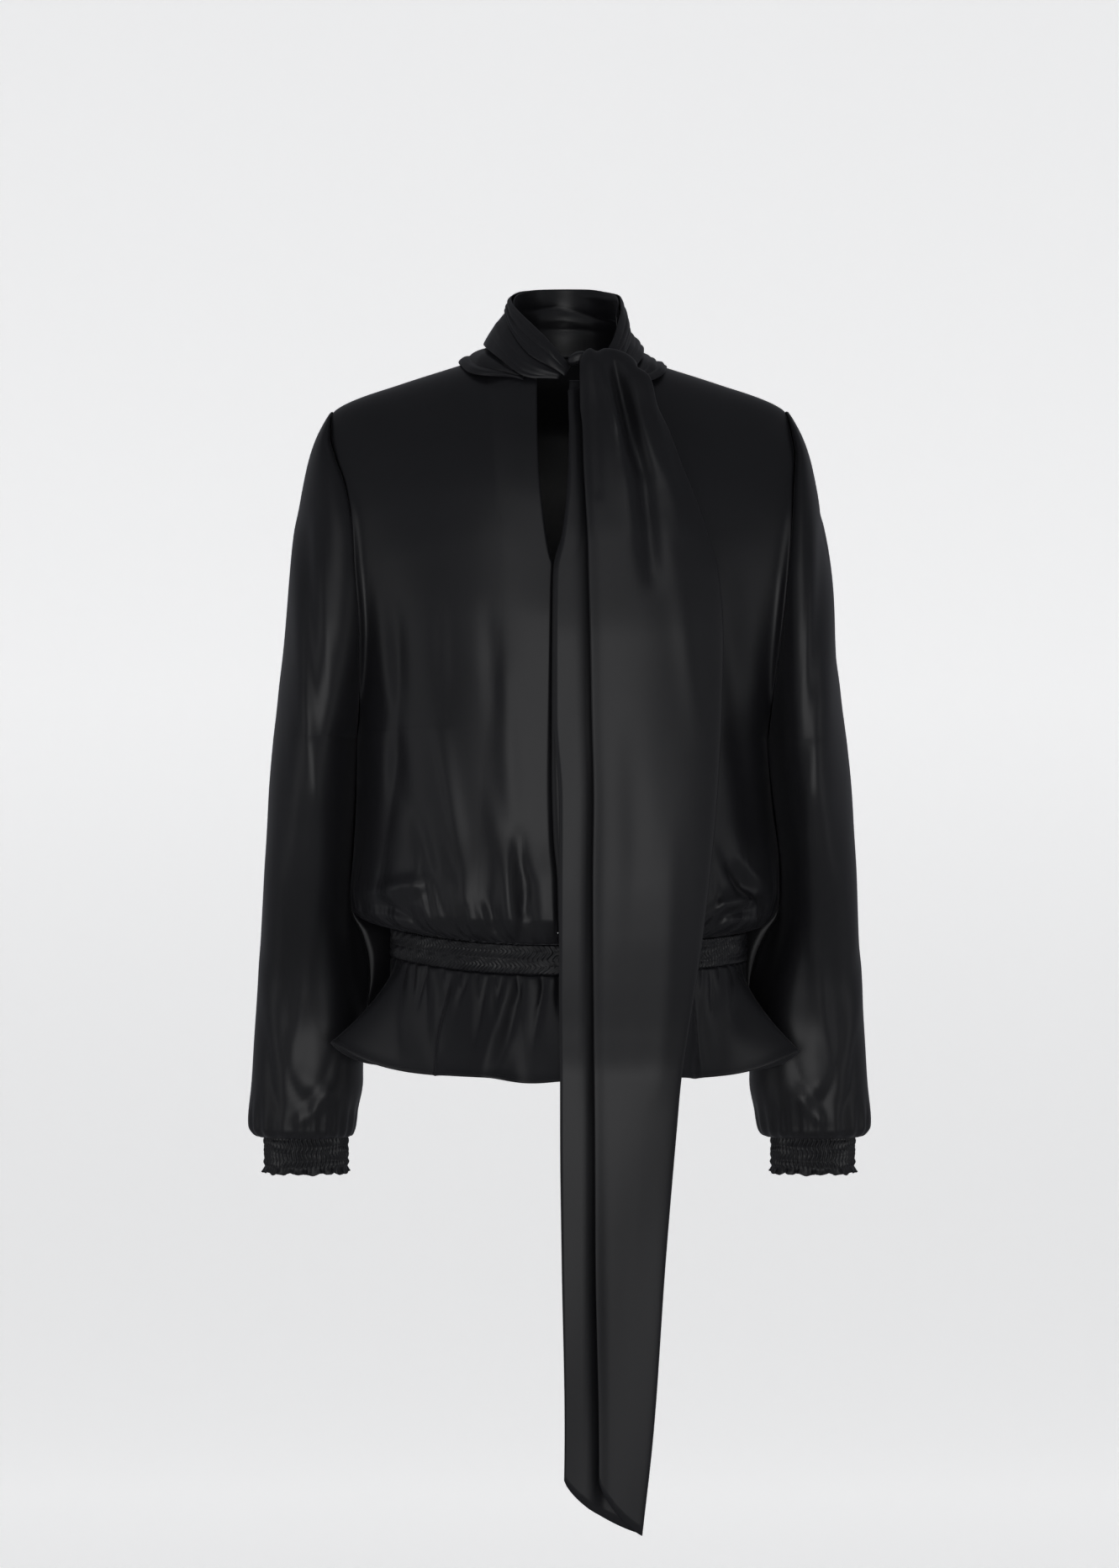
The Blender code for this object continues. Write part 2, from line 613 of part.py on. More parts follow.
def sash(s, v):
    """s runs from the free edge of the layer behind, round the fold, to the free edge in front."""
    rows = len(SASH["drop"]) - 1
    row = np.clip(v, 0, 1) * rows
    in_front = s > SASH_FOLD_AT
    share = np.where(in_front, (1 - s) / (1 - SASH_FOLD_AT), s / SASH_FOLD_AT)
    end_rise = SASH_POINT_RISE * (1 - share) ** 2.2
    top = SASH["drop"][0] + np.where(in_front, 0.0, 22.0) * (1 - share)
    full = column(SASH, "drop", row)
    last = SASH["drop"][-1]
    drop = top + (full - SASH["drop"][0]) / (last - SASH["drop"][0]) * (last - end_rise - top)
    at = np.interp(drop, SASH["drop"], np.arange(rows + 1))
    fold = column(SASH, "fold", at)
    free = np.where(in_front, column(SASH, "front", at), column(SASH, "behind", at))
    gap = column(SASH, "gap", at)
    x = free + (fold - free) * np.sin(math.pi / 2 * share ** 1.15) ** 1.15
    bend = np.sqrt(np.clip(1 - share**6, 0, 1)) * gap / 2
    wrap = column(SASH, "wrap", at) * np.clip((x - 45) / np.maximum(fold - 45, 1), 0, 1) ** 2
    y = -column(SASH, "depth", at) + gap / 2 + wrap + np.where(in_front, -bend, bend)
    out = folds(SASH_FOLDS, x, drop) * np.where(in_front, 1.0, 0.25) * (1 - share**10)
    return place(x, y - out, -drop)


def sash_with_roll(s, v):
    """The sash, and above it the stretch that rolls over the knot and back into the collar."""
    point = sash(s, v)
    rolled = np.clip(-v / SASH_ROLL, 0, 1)
    weight = np.where(s > SASH_FOLD_AT, 1 - ((1 - s) / (1 - SASH_FOLD_AT)) ** 4, 0.0)
    point[..., 1] += rolled * (3 + 12 * weight)
    point[..., 2] += np.sin(rolled * 2.2) * 9.5 * weight + rolled * 1.5
    return point


# Making the meshes
def normals(point, across, down, ring):
    """Unit normals of a surface, from small steps to either side."""
    step = 1e-3
    low_u, high_u = across - step, across + step
    if not ring:
        low_u, high_u = np.maximum(low_u, across.min()), np.minimum(high_u, across.max())
    low_v, high_v = np.maximum(down - step, down.min()), np.minimum(down + step, down.max())
    n = np.cross(point(high_u, down) - point(low_u, down), point(across, high_v) - point(across, low_v))
    return n / np.maximum(np.linalg.norm(n, axis=-1, keepdims=True), 1e-12)


def grid_triangles(points, ring):
    """Triangles of a grid of points, row by row, each quad split along its shorter diagonal."""
    rows, count = points.shape[:2]
    triangles = []
    for j in range(rows - 1):
        for i in range(count if ring else count - 1):
            a, b = (j, i), (j, (i + 1) % count)
            d, c = (j + 1, i), (j + 1, (i + 1) % count)
            if np.linalg.norm(points[a] - points[c]) < np.linalg.norm(points[b] - points[d]):
                halves = ((a, b, c), (a, c, d))
            else:
                halves = ((a, b, d), (b, c, d))
            triangles += [tuple(row * count + column for row, column in half) for half in halves]
    return triangles


def satin(name):
    """Black satin, with its colour, sheen and roughness."""
    material = bpy.data.materials.new(name)
    material.use_nodes = True
    shader = material.node_tree.nodes["Principled BSDF"]
    shader.inputs["Base Color"].default_value = (0.012, 0.012, 0.014, 1)
    shader.inputs["Roughness"].default_value = 0.38
    shader.inputs["Metallic"].default_value = 0.0
    return material


def make_object(name, points, faces):
    """A closed mesh with its faces pointing outwards, in metres."""
    corners = [points[list(face)] for face in faces]
    volume = sum(
        np.dot(c[0], np.cross(c[k], c[k + 1])) for c in corners for k in range(1, len(c) - 1)
    )
    if volume < 0:
        faces = [tuple(reversed(face)) for face in faces]
    mesh = bpy.data.meshes.new(name)
    mesh.from_pydata((points * MM).tolist(), [], faces)
    mesh.materials.append(satin(name + "_satin"))
    mesh.shade_smooth()
    made = bpy.data.objects.new(name, mesh)
    bpy.context.scene.collection.objects.link(made)
    return made


def wall(name, point, across, down, about, ring=False, thickness=WALL, ridge=0.0):
    """A cloth wall: outer points from a function, inner points a thickness behind them, and closed edges.

    Both sides are split along the same diagonals, so that a twisted wall keeps its thickness. about is a point
    (x, y) that the outside faces away from. ridge raises every second column of outer points.
    """
    u, v = np.meshgrid(np.asarray(across, float), np.asarray(down, float))
    outer = point(u, v)
    n = normals(point, u, v, ring)
    if np.sum(n[..., :2] * (outer[..., :2] - np.array(about))) < 0:
        n = -n
    inner = outer - n * thickness
    if ridge:
        outer = outer + n * ridge * (np.arange(u.shape[1]) % 2)[None, :, None]
    rows, count = u.shape
    size = rows * count
    faces = grid_triangles(outer, ring)
    faces += [tuple(corner + size for corner in reversed(face)) for face in faces]
    columns = count if ring else count - 1
    for i in range(columns):
        k = (i + 1) % count
        faces.append((i, i + size, k + size, k))
        low = (rows - 1) * count
        faces.append((low + i, low + k, low + k + size, low + i + size))
    if not ring:
        for j in range(rows - 1):
            a, b = j * count, (j + 1) * count
            faces.append((a, b, b + size, a + size))
            c, d = a + count - 1, b + count - 1
            faces.append((c, c + size, d + size, d))
    return make_object(name, np.concatenate([outer.reshape(-1, 3), inner.reshape(-1, 3)]), faces)


def make_body():
    rows = np.arange(BODY_ROWS + 1) / BODY_ROWS
    columns = np.linspace(0, 1, 21)
    wall("front_right", lambda u, v: body(u, v, RIGHT, FRONT), columns, rows, (0, 0))
    wall("front_left", lambda u, v: body(u, v, LEFT, FRONT), columns, rows, (0, 0))

    def back(u, v):
        return np.where(
            (u < 0)[..., None], body(np.abs(u), v, RIGHT, BACK), body(np.abs(u), v, LEFT, BACK)
        )

    wall("back", back, np.linspace(-1, 1, 29), rows, (0, 0))


def make_waist():
    around = np.arange(2 * WAIST_RIDGES) * 4 / (2 * WAIST_RIDGES)
    wall("waistband", waistband, around, (0, 1), (0, 0), ring=True, ridge=SMOCKING_RISE)
    around = np.arange(80) * 4 / 80
    wall("peplum", peplum, around, (0, 0.25, 0.6, 1), (0, 0), ring=True)


def make_sleeve(side, word):
    rows = (np.concatenate([[SLEEVE_FIRST_ROW], np.arange(1, SLEEVE_ROWS + 1)]) - SLEEVE_FIRST_ROW) / (
        SLEEVE_ROWS - SLEEVE_FIRST_ROW
    )
    wall(
        "sleeve_" + word,
        lambda u, v: sleeve(u, v, side),
        np.linspace(0, 1, 18),
        rows,
        (side * CUFF_X, CUFF_Y),
    )
    around = np.arange(2 * CUFF_RIDGES) * 4 / (2 * CUFF_RIDGES)
    wall(
        "cuff_" + word,
        lambda a, v: cuff(a, v, side),
        around,
        (0, 0.8, 1),
        (side * CUFF_X, CUFF_Y),
        ring=True,
        ridge=SMOCKING_RISE,
    )


def make_collar():
    for name, rows, count in (
        ("wrap_upper", WRAP_UPPER, 32),
        ("wrap_lower", WRAP_LOWER, 32),
        ("drape", DRAPE, 30),
        ("collar_stand", STAND, 22),
    ):
        wall(
            name,
            lambda u, v, rows=rows: strip(rows, u, v),
            np.linspace(0, 1, count),
            np.linspace(0, 1, 5 if name != "collar_stand" else 4),
            (NECK_X, 0),
        )


def make_knot():
    """A small twisted bundle, round at its ends."""
    rings, sides = 9, 14
    points = []
    for j in range(1, rings):
        across = math.pi * j / rings
        for i in range(sides):
            angle = 2 * math.pi * i / sides + KNOT_TWIST * j
            ripple = 1 + 0.06 * math.cos(4 * angle)
            x = -math.cos(across) * KNOT_RADII[0]
            y = math.sin(across) * math.cos(angle) * KNOT_RADII[1] * ripple
            z = math.sin(across) * math.sin(angle) * KNOT_RADII[2] * ripple + 0.25 * x
            points.append((x, y, z))
    faces = grid_triangles(np.array(points).reshape(rings - 1, sides, 3), True)
    count = len(points)
    points.append((-KNOT_RADII[0], 0, -0.25 * KNOT_RADII[0]))
    points.append((KNOT_RADII[0], 0, 0.25 * KNOT_RADII[0]))
    last = (rings - 2) * sides
    for i in range(sides):
        k = (i + 1) % sides
        faces.append((count, k, i))
        faces.append((count + 1, last + i, last + k))
    make_object("knot", np.array(points) + np.array(KNOT_CENTRE), faces)


def make_sash():
    rows = len(SASH["drop"]) - 1
    down = np.concatenate([-SASH_ROLL * np.array([1, 2 / 3, 1 / 3]), np.arange(rows + 1) / rows])
    behind = np.linspace(0, SASH_FOLD_AT, 7)
    in_front = np.linspace(SASH_FOLD_AT, 1, 12)[1:]
    wall(
        "sash", sash_with_roll, np.concatenate([behind, in_front]), down, (75, -140), thickness=SASH_WALL
    )


def main():
    for old in list(bpy.data.objects):
        bpy.data.objects.remove(old, do_unlink=True)
    make_body()
    make_waist()
    make_sleeve(RIGHT, "right")
    make_sleeve(LEFT, "left")
    make_collar()
    make_knot()
    make_sash()


main()
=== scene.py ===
"""A black silk-satin blouse with a scarf collar, full sleeves, smocked waist and cuffs and a fluted peplum.

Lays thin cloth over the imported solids: every piece follows its solid's form, with finer folds, gathers,
smocking and stitches. Run as a script it makes the blouse and its studio; installed as an add-on it puts the
same steps in the 3D view's sidebar. Tables are in millimetres, "drop" is a distance below the shoulders, right
and left are the wearer's, and the front faces -Y.
"""

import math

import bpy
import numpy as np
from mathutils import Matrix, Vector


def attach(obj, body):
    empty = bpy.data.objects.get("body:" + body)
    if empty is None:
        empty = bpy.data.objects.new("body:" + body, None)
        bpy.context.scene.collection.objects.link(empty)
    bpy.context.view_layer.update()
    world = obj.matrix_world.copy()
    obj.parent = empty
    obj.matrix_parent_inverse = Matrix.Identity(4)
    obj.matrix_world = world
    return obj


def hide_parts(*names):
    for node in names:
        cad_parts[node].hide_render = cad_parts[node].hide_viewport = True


bl_info = {
    "name": "Tie-neck blouse",
    "version": (1, 0, 0),
    "blender": (4, 5, 0),
    "location": "3D View > Sidebar > Blouse",
    "description": "Makes a satin blouse with a scarf collar, smocking and gathers, and a pale studio for it",
    "category": "Object",
}

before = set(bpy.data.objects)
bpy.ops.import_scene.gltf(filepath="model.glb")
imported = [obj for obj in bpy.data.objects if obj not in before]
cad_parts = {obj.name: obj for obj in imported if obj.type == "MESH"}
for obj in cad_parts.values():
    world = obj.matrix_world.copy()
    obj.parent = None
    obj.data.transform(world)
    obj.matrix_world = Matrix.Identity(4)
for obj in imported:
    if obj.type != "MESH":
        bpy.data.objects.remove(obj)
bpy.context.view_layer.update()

MM = 0.001
SEAM = 0.3
# A step along a surface's own coordinates, for its directions.
STEP = 1e-3
RIGHT, LEFT = -1, 1
FRONT, BACK = -1, 1

WAISTBAND_HEIGHT = 25.0
PEPLUM_LENGTH = 97.0
CUFF_HEIGHT = 37.0


def table(names, *rows):
    """One array for each named column."""
    return dict(zip(names.split(), np.array(rows, float).T))


def along(t, knots, values):
    """A smooth curve through a table's values, with no overshoot between its rows."""
    step = np.diff(knots)
    slope = np.diff(values) / step
    same = slope[:-1] * slope[1:] > 0
    before = np.where(same, slope[:-1], 1.0)
    after = np.where(same, slope[1:], 1.0)
    near = 2 * step[1:] + step[:-1]
    far = step[1:] + 2 * step[:-1]
    inner = np.where(same, (near + far) / (near / before + far / after), 0)
    tangent = np.concatenate([[slope[0]], inner, [slope[-1]]])
    t = np.clip(t, knots[0], knots[-1])
    i = np.clip(np.searchsorted(knots, t, side="right") - 1, 0, len(knots) - 2)
    h = step[i]
    s = (t - knots[i]) / h
    rise = values[i] + s * s * (3 - 2 * s) * (values[i + 1] - values[i])
    return rise + h * s * (1 - s) * ((1 - s) * tangent[i] - s * tangent[i + 1])


def column(rows, name, at):
    """A column of a table, read at fractional row numbers."""
    values = rows[name]
    return along(at, np.arange(len(values), dtype=float), values)


def place(x, y, z):
    return np.stack(np.broadcast_arrays(x, y, z), axis=-1)


def side_word(side):
    return "right" if side == RIGHT else "left"


def smooth(share):
    """Eases a share of a way in at both ends."""
    return share**2 * (3 - 2 * share)


def push_out(points, out, away_x, away_y):
    """Moves points level by their distances out, along directions of any length."""
    size = np.maximum(np.hypot(away_x, away_y), 1e-9)
    points[..., 0] += out * away_x / size
    points[..., 1] += out * away_y / size


def calm_ends(v, run):
    """A factor that is 0 at both ends of v and 1 between them."""
    return np.clip(v / run, 0, 1) * np.clip((1 - v) / run, 0, 1)


# Body
# The edge is the armhole down to the underarm, then the side seam. share is how deep the edge lies, as a share
# of the depth at centre: 0 is the side itself.
BODY = table(
    "drop right left share",
    (44, 201, 200.5, 0.60),
    (50, 202.5, 202, 0.60),
    (69, 202, 205.5, 0.60),
    (88, 197, 207.5, 0.62),
    (113, 188, 205.5, 0.64),
    (150, 181, 203, 0.66),
    (190, 178, 199, 0.65),
    (246, 174, 193, 0.58),
    (290, 175, 188, 0.46),
    (318, 177, 185.5, 0.31),
    (332, 179, 184.5, 0.15),
    (336, 180, 184.5, 0.0),
    (390, 181, 189, 0.0),
    (440, 184, 195.5, 0.0),
    (470, 186.5, 196, 0.0),
    (485, 185, 193, 0.0),
    (496, 173, 184, 0.0),
    (503, 149, 165, 0.0),
)
BODY_ROWS = len(BODY["drop"]) - 1
UNDERARM_ROW = 11
# The panels' own section away from their edges. share fades evenly past the underarm; a square below 1 makes the
# section fuller towards its corner.
SECTION = table(
    "drop share square",
    (44, 0.60, 1.0),
    (113, 0.61, 1.0),
    (190, 0.55, 0.97),
    (246, 0.47, 0.93),
    (290, 0.385, 0.89),
    (336, 0.28, 0.85),
    (390, 0.15, 0.82),
    (440, 0.05, 0.82),
    (470, 0.0, 0.85),
    (503, 0.0, 0.93),
)
# Below the neckline the rows even out, to a wider and softer dip under a shoulder line that is rounded at the
# neck. The fades are powers: the higher, the closer to the neckline, or to a panel's edge, its own form stays.
NECKLINE_FADE = 16
EDGE_FADE = 24
# Where the keyhole's edges are read for the shoulders' first row.
FIRST_CENTRE_DROP = 21.0
SOFT_NECK_RADIUS = 95.0
GUIDE_SLOPE = 0.313
GUIDE_ROUNDING = 34.0
GUIDE_REACH = 150.0

CENTRE_FRONT = table(
    "drop depth",
    (0, 60),
    (21, 74),
    (50, 88),
    (88, 104),
    (133, 118),
    (186, 127),
    (235, 131),
    (300, 130),
    (420, 128),
    (460, 130),
    (492, 129),
    (505, 124),
    (515, 118),
)
CENTRE_BACK = table(
    "drop depth",
    (-20, 50),
    (-10, 57),
    (20, 79),
    (60, 96),
    (120, 105),
    (220, 104),
    (320, 98),
    (420, 97),
    (470, 101),
    (494, 99),
    (505, 93),
    (512, 86),
)
# The two front edges: apart at the keyhole, then seamed.
KEYHOLE = table(
    "drop right left",
    (0, -20.2, 8.4),
    (52, -19.6, 8.4),
    (95, -18.3, 7.6),
    (133, -14.9, 5.2),
    (160, -11.4, 1.6),
    (178, -7.9, -3.6),
    (186, -5.5, -5.2),
    (196, -6.1, -5.8),
    (360, -7.1, -6.8),
    (420, -5.6, -5.3),
    (460, -2.2, -1.9),
    (515, -1.4, -1.1),
)
SHOULDER = table(
    "x z",
    (66, 5),
    (91.5, -3),
    (142, -19),
    (190, -36),
    (203, -44),
    (215, -53),
)
NECK_X = 5.0
NECK_RADIUS = 66.0
NECK_RISE = {FRONT: 10.0, BACK: 28.0}
NECK_DIP = {FRONT: 36.0, BACK: 23.0}
SHOULDER_TO_BUST = {FRONT: 180.0, BACK: 150.0}
SHOULDER_ROUNDNESS = 0.45
CENTRE_BACK_X = 2.0
WAIST_DROP_FRONT = 514.7
WAIST_DROP_BACK = 511.0
WAIST_DROP_SIDE = {RIGHT: 503.0, LEFT: 507.0}

# Folds: each runs from a point to a point of the panel seen from in front, is this wide, and stands proud
# (above zero) or sinks in.
FRONT_FOLDS = table(
    "x0 drop0 x1 drop1 width depth",
    (-159, 215, -146, 330, 11, 2.0),
    (-147, 222, -143, 300, 10, -2.5),
    (-150, 318, -139, 385, 10, -3.0),
    (-103, 337, -85, 465, 9, 2.8),
    (-85, 465, -78, 500, 6, 3.0),
    (-48, 289, -40, 420, 10, 2.0),
    (-124, 410, -104, 490, 8, -4.0),
    (-35, 425, -31, 505, 7, -4.5),
    (-162, 470, -120, 461, 8, 3.5),
    (-171, 480, -126, 490, 6, -3.0),
    (148, 215, 160, 337, 14, -4.0),
    (160, 337, 173, 433, 12, -4.5),
    (176, 290, 184, 465, 9, 3.0),
    (148, 436, 181, 476, 9, -6.0),
    (132, 489, 150, 474, 8, 4.0),
    (150, 474, 176, 475, 8, 4.0),
)
BACK_FOLDS = table(
    "x0 drop0 x1 drop1 width depth",
    (-150, 230, -138, 420, 12, -3.5),
    (-118, 300, -104, 480, 9, 3.0),
    (-70, 260, -62, 470, 11, -2.5),
    (-24, 330, -20, 490, 9, 3.0),
    (28, 280, 24, 480, 11, -2.5),
    (74, 340, 68, 490, 9, 3.0),
    (112, 250, 104, 470, 11, -3.0),
    (156, 240, 150, 430, 12, -3.5),
    (-165, 478, -118, 466, 8, 3.5),
    (130, 470, 172, 480, 8, 3.5),
)
FOLD_SIDEWAYS = 0.8
GATHERS = {FRONT: 7.5, BACK: 8.5}
GATHER_DEPTH = 3.2
GATHER_TOP = 425.0
GATHER_DEEPEST = 498.0


def shoulder_height(x, face):
    """The top of the form across its width; inside the neck opening it is a guide that no cloth reaches."""
    outside = along(np.abs(x), SHOULDER["x"], SHOULDER["z"])
    inside = SHOULDER["z"][0] + NECK_RISE[face] * (1 - (x / SHOULDER["x"][0]) ** 2)
    return np.where(np.abs(x) < SHOULDER["x"][0], inside, outside)


def shoulder_guide(x, face, fall):
    """The shoulder line, rounded more and more over the neck opening with the share of the way down."""
    sharp = shoulder_height(x, face)
    ridge = SHOULDER["z"][0] + GUIDE_SLOPE * SHOULDER["x"][0]
    rounded = ridge - GUIDE_SLOPE * np.hypot(x, GUIDE_ROUNDING)
    near = smooth(np.clip((GUIDE_REACH - np.abs(x)) / (GUIDE_REACH - SHOULDER["x"][0]), 0, 1))
    return sharp + (rounded - sharp) * near * (1 - (1 - fall) ** NECKLINE_FADE)


def top_drop(x, face):
    """The neckline, then the shoulder seam."""
    across = np.clip(1 - ((x - NECK_X) / NECK_RADIUS) ** 2, 0, 1)
    return NECK_DIP[face] * np.sqrt(across) - shoulder_height(x, face)


def waist_drop(u, side, face):
    centre = WAIST_DROP_FRONT if face == FRONT else WAIST_DROP_BACK
    low = np.cos(math.pi / 2 * u) ** 2
    return WAIST_DROP_SIDE[side] + (centre - WAIST_DROP_SIDE[side]) * low


def shoulder_curve(fall):
    return np.sin(math.pi / 2 * np.clip(fall, 0.0, 1.0)) ** SHOULDER_ROUNDNESS


def folds(rows, x, drop):
    """The sum of a table's folds at points of a panel."""
    total = np.zeros(np.broadcast(x, drop).shape)
    for x0, drop0, x1, drop1, width, depth in zip(*rows.values()):
        run = np.array([x1 - x0, drop1 - drop0])
        length = math.hypot(*run)
        on = ((x - x0) * run[0] + (drop - drop0) * run[1]) / length**2
        off = ((x - x0) * run[1] - (drop - drop0) * run[0]) / length
        past = np.maximum(np.abs(on - 0.5) - 0.5, 0) * length
        swell = 0.55 + 0.45 * np.sin(math.pi * np.clip(on, 0, 1))
        total += depth * swell * np.exp(-(off / width) ** 2 - (past / (1.6 * width)) ** 2)
    return total


def gathers(u, drop, face):
    """Uneven ripples that grow towards the waist and are drawn flat where they are sewn."""
    grow = np.clip((drop - GATHER_TOP) / (GATHER_DEEPEST - GATHER_TOP), 0, 1) ** 1.6
    sewn = 1 - 0.6 * np.clip((drop - GATHER_DEEPEST) / 16, 0, 1)
    ripple = np.cos(2 * math.pi * GATHERS[face] * u + 1.1 * np.sin(7.0 * u) + 0.5)
    uneven = 0.75 + 0.25 * np.sin(13.0 * u + 1.0)
    return GATHER_DEPTH * grow * sewn * ripple * uneven


def body(u, v, side, face, creased=True):
    """A point of the body: u runs from centre to edge, v from the shoulder to the waist."""
    row = v * BODY_ROWS
    edge = column(BODY, side_word(side), row) * side
    turn = np.arccos(np.clip(column(BODY, "share", row), 0, 1))
    fall = (column(BODY, "drop", row) - BODY["drop"][0]) / (BODY["drop"][-1] - BODY["drop"][0])
    first_edge = BODY[side_word(side)][0] * side
    first_turn = math.acos(BODY["share"][0])
    depths = CENTRE_FRONT if face == FRONT else CENTRE_BACK

    def centre_x(drop):
        if face == BACK:
            return np.full_like(drop, CENTRE_BACK_X)
        return along(drop, KEYHOLE["drop"], KEYHOLE[side_word(side)])

    first_centre = centre_x(np.array([FIRST_CENTRE_DROP]))[0]
    first_x = first_centre + (first_edge - first_centre) * np.sin(first_turn * u) / math.sin(first_turn)

    def level(at, low):
        """The drop at a share of the way down: the neckline's curve dies out over the chest."""
        sharp = top_drop(at, face)
        soft = NECK_DIP[face] * np.clip(1 - ((at - NECK_X) / SOFT_NECK_RADIUS) ** 2, 0, 1) ** 2
        soft = soft - shoulder_guide(at, face, fall)
        return soft + (low - soft) * fall + (sharp - soft) * (1 - fall) ** NECKLINE_FADE

    drop = level(first_x, waist_drop(u, side, face))
    centre_drop = level(np.full_like(u, first_centre), waist_drop(np.zeros_like(u), side, face))
    centre = centre_x(centre_drop)
    level_drop = column(BODY, "drop", row)
    section = np.arccos(along(level_drop, SECTION["drop"], SECTION["share"]))
    turn = section + (turn - section) * u**EDGE_FADE
    swing = turn * u
    square = along(level_drop, SECTION["drop"], SECTION["square"])
    across = np.clip(np.sin(swing) / np.sin(turn), 0, 1) ** square
    x = centre + (edge - centre) * across
    rounding = shoulder_curve((shoulder_guide(x, face, fall) + drop) / SHOULDER_TO_BUST[face])
    rounding /= shoulder_curve((shoulder_guide(centre, face, fall) + centre_drop) / SHOULDER_TO_BUST[face])
    y = face * along(centre_drop, depths["drop"], depths["depth"]) * np.cos(swing) * rounding
    if creased:
        rows = FRONT_FOLDS if face == FRONT else BACK_FOLDS
        calm = (1 - u**8) * (1 - (1 - np.clip(u, 0, 1)) ** EDGE_FADE * (face == FRONT))
        out = (folds(rows, x, drop) + gathers(u, drop, face)) * calm
        x = x + out * side * np.sin(swing) * FOLD_SIDEWAYS
        y = y + out * face * np.cos(swing)
    return place(x, y + face * SEAM / 2, -drop)


def waist(a):
    """The waist seam all round: a is 0 at centre front, 1 at the left side, 2 at centre back, 3 at the right
    side.
    """
    a = np.mod(a, 4.0)
    out = np.zeros(np.shape(a) + (3,))
    for quarter, side, face in ((0, LEFT, FRONT), (1, LEFT, BACK), (2, RIGHT, BACK), (3, RIGHT, FRONT)):
        here = (a >= quarter) & (a < quarter + 1)
        u = a[here] - quarter
        u = u if quarter % 2 == 0 else 1 - u
        out[here] = body(u, np.ones_like(u), side, face, creased=False)
    return out


def waistband(a, v):
    seam = waist(a)
    seam[..., 2] -= SEAM + v * WAISTBAND_HEIGHT
    return seam


# Peplum
PEPLUM_CENTRE_X = 6.0
PEPLUM_HALF_WIDTH = 160.0
PEPLUM_FRONT = 150.0
PEPLUM_BACK = 122.0
FLUTES = table(
    "turn out width flatness",
    (-112, 26, 10, 2),
    (-72, 58, 9, 2),
    (-52, -7, 6, 2),
    (-33, 11, 14, 5),
    (-13, -5, 7, 2),
    (4, 6, 9, 2),
    (22, -5, 7, 2),
    (37, 10, 9, 2),
    (50, -7, 6, 2),
    (72, 56, 9, 2),
    (112, 26, 10, 2),
    (128, -8, 8, 2),
    (145, 13, 9, 2),
    (161, -8, 8, 2),
    (179, 13, 10, 2),
    (-163, -8, 8, 2),
    (-146, 12, 9, 2),
    (-127, -8, 8, 2),
)


def peplum(a, v):
    """Flares from the waistband. A flute that stands further out hangs less far down, as the cloth's length
    stays the same.
    """
    top = waist(a)
    top[..., 2] -= 2 * SEAM + WAISTBAND_HEIGHT
    around = a * math.pi / 2
    depth = np.where(np.cos(around) > 0, PEPLUM_FRONT, PEPLUM_BACK)
    hem_x = PEPLUM_CENTRE_X + PEPLUM_HALF_WIDTH * np.sin(around)
    hem_y = -depth * np.cos(around)
    turn = np.degrees(np.arctan2(hem_x - PEPLUM_CENTRE_X, -hem_y))
    out = np.zeros_like(turn)
    for at, reach, width, flatness in zip(*FLUTES.values()):
        off = np.abs((turn - at + 180) % 360 - 180)
        out += reach * np.exp(-((off / width) ** flatness))
    away = np.hypot(hem_x - PEPLUM_CENTRE_X, hem_y)
    spread = v**0.9
    flute = out * v**1.25
    x = top[..., 0] + (hem_x - top[..., 0]) * spread + flute * (hem_x - PEPLUM_CENTRE_X) / away
    y = top[..., 1] + (hem_y - top[..., 1]) * spread + flute * hem_y / away
    sideways = np.hypot(x - top[..., 0], y - top[..., 1])
    length = PEPLUM_LENGTH * v
    down = np.sqrt(np.maximum(length**2 - sideways**2, (0.55 * length) ** 2))
    return place(x, y, top[..., 2] - down)


# Sleeves
# Above the underarm a sleeve is open towards the body, from the front edge of the armhole round to the back.
# Its section is this much shallower than the body's, and its rows are the body's own.
SLEEVE_SHALLOWER = 1.42
SLEEVE_CAP = table(
    "outer",
    (203.2,),
    (207,),
    (217,),
    (223.5,),
    (229,),
    (235.2,),
    (240.3,),
    (245.4,),
    (249.4,),
    (252,),
    (253.4,),
    (253.8,),
)
# Below it a sleeve is a closed tube about the depth "middle". tuck draws it in from the full sleeve to the
# cuff.
SLEEVE_TUBE = table(
    "drop outer right left front back middle tuck",
    (336, 253.8, 180.3, 184.8, 91.3, 69, 0, 0),
    (375, 257.0, 182.5, 189.5, 89.4, 70.5, 0, 0),
    (415, 259.5, 185.0, 194.5, 82.5, 75, 2, 0),
    (455, 263.0, 188.0, 198.5, 73, 78, 5, 0),
    (490, 265.5, 189.5, 198.5, 63, 78, 9, 0),
    (525, 267.8, 187.0, 192.0, 56, 72, 13, 0),
    (560, 270.4, 181.0, 181.0, 51, 64, 16, 0),
    (600, 273.4, 176.0, 172.5, 48, 60, 18, 0),
    (640, 275.8, 176.0, 170.0, 48, 58, 18, 0),
    (668, 278.2, 181.0, 175.0, 47, 56, 18, 0),
    (681, 278.4, 182.5, 177.0, 46, 55, 18, 0.03),
    (687, 277.0, 183.5, 178.0, 46, 55, 18, 0.16),
    (690, 276.0, 184.0, 179.0, 46, 55, 18, 0.5),
    (689, 276.0, 184.0, 179.0, 46, 55, 18, 0.85),
    (687, 276.0, 184.0, 179.0, 46, 55, 18, 1.0),
)
SLEEVE_ROWS = UNDERARM_ROW + len(SLEEVE_TUBE["drop"]) - 1
SLEEVE_FIRST_ROW = 0.02
CAP_EASE = 0.1
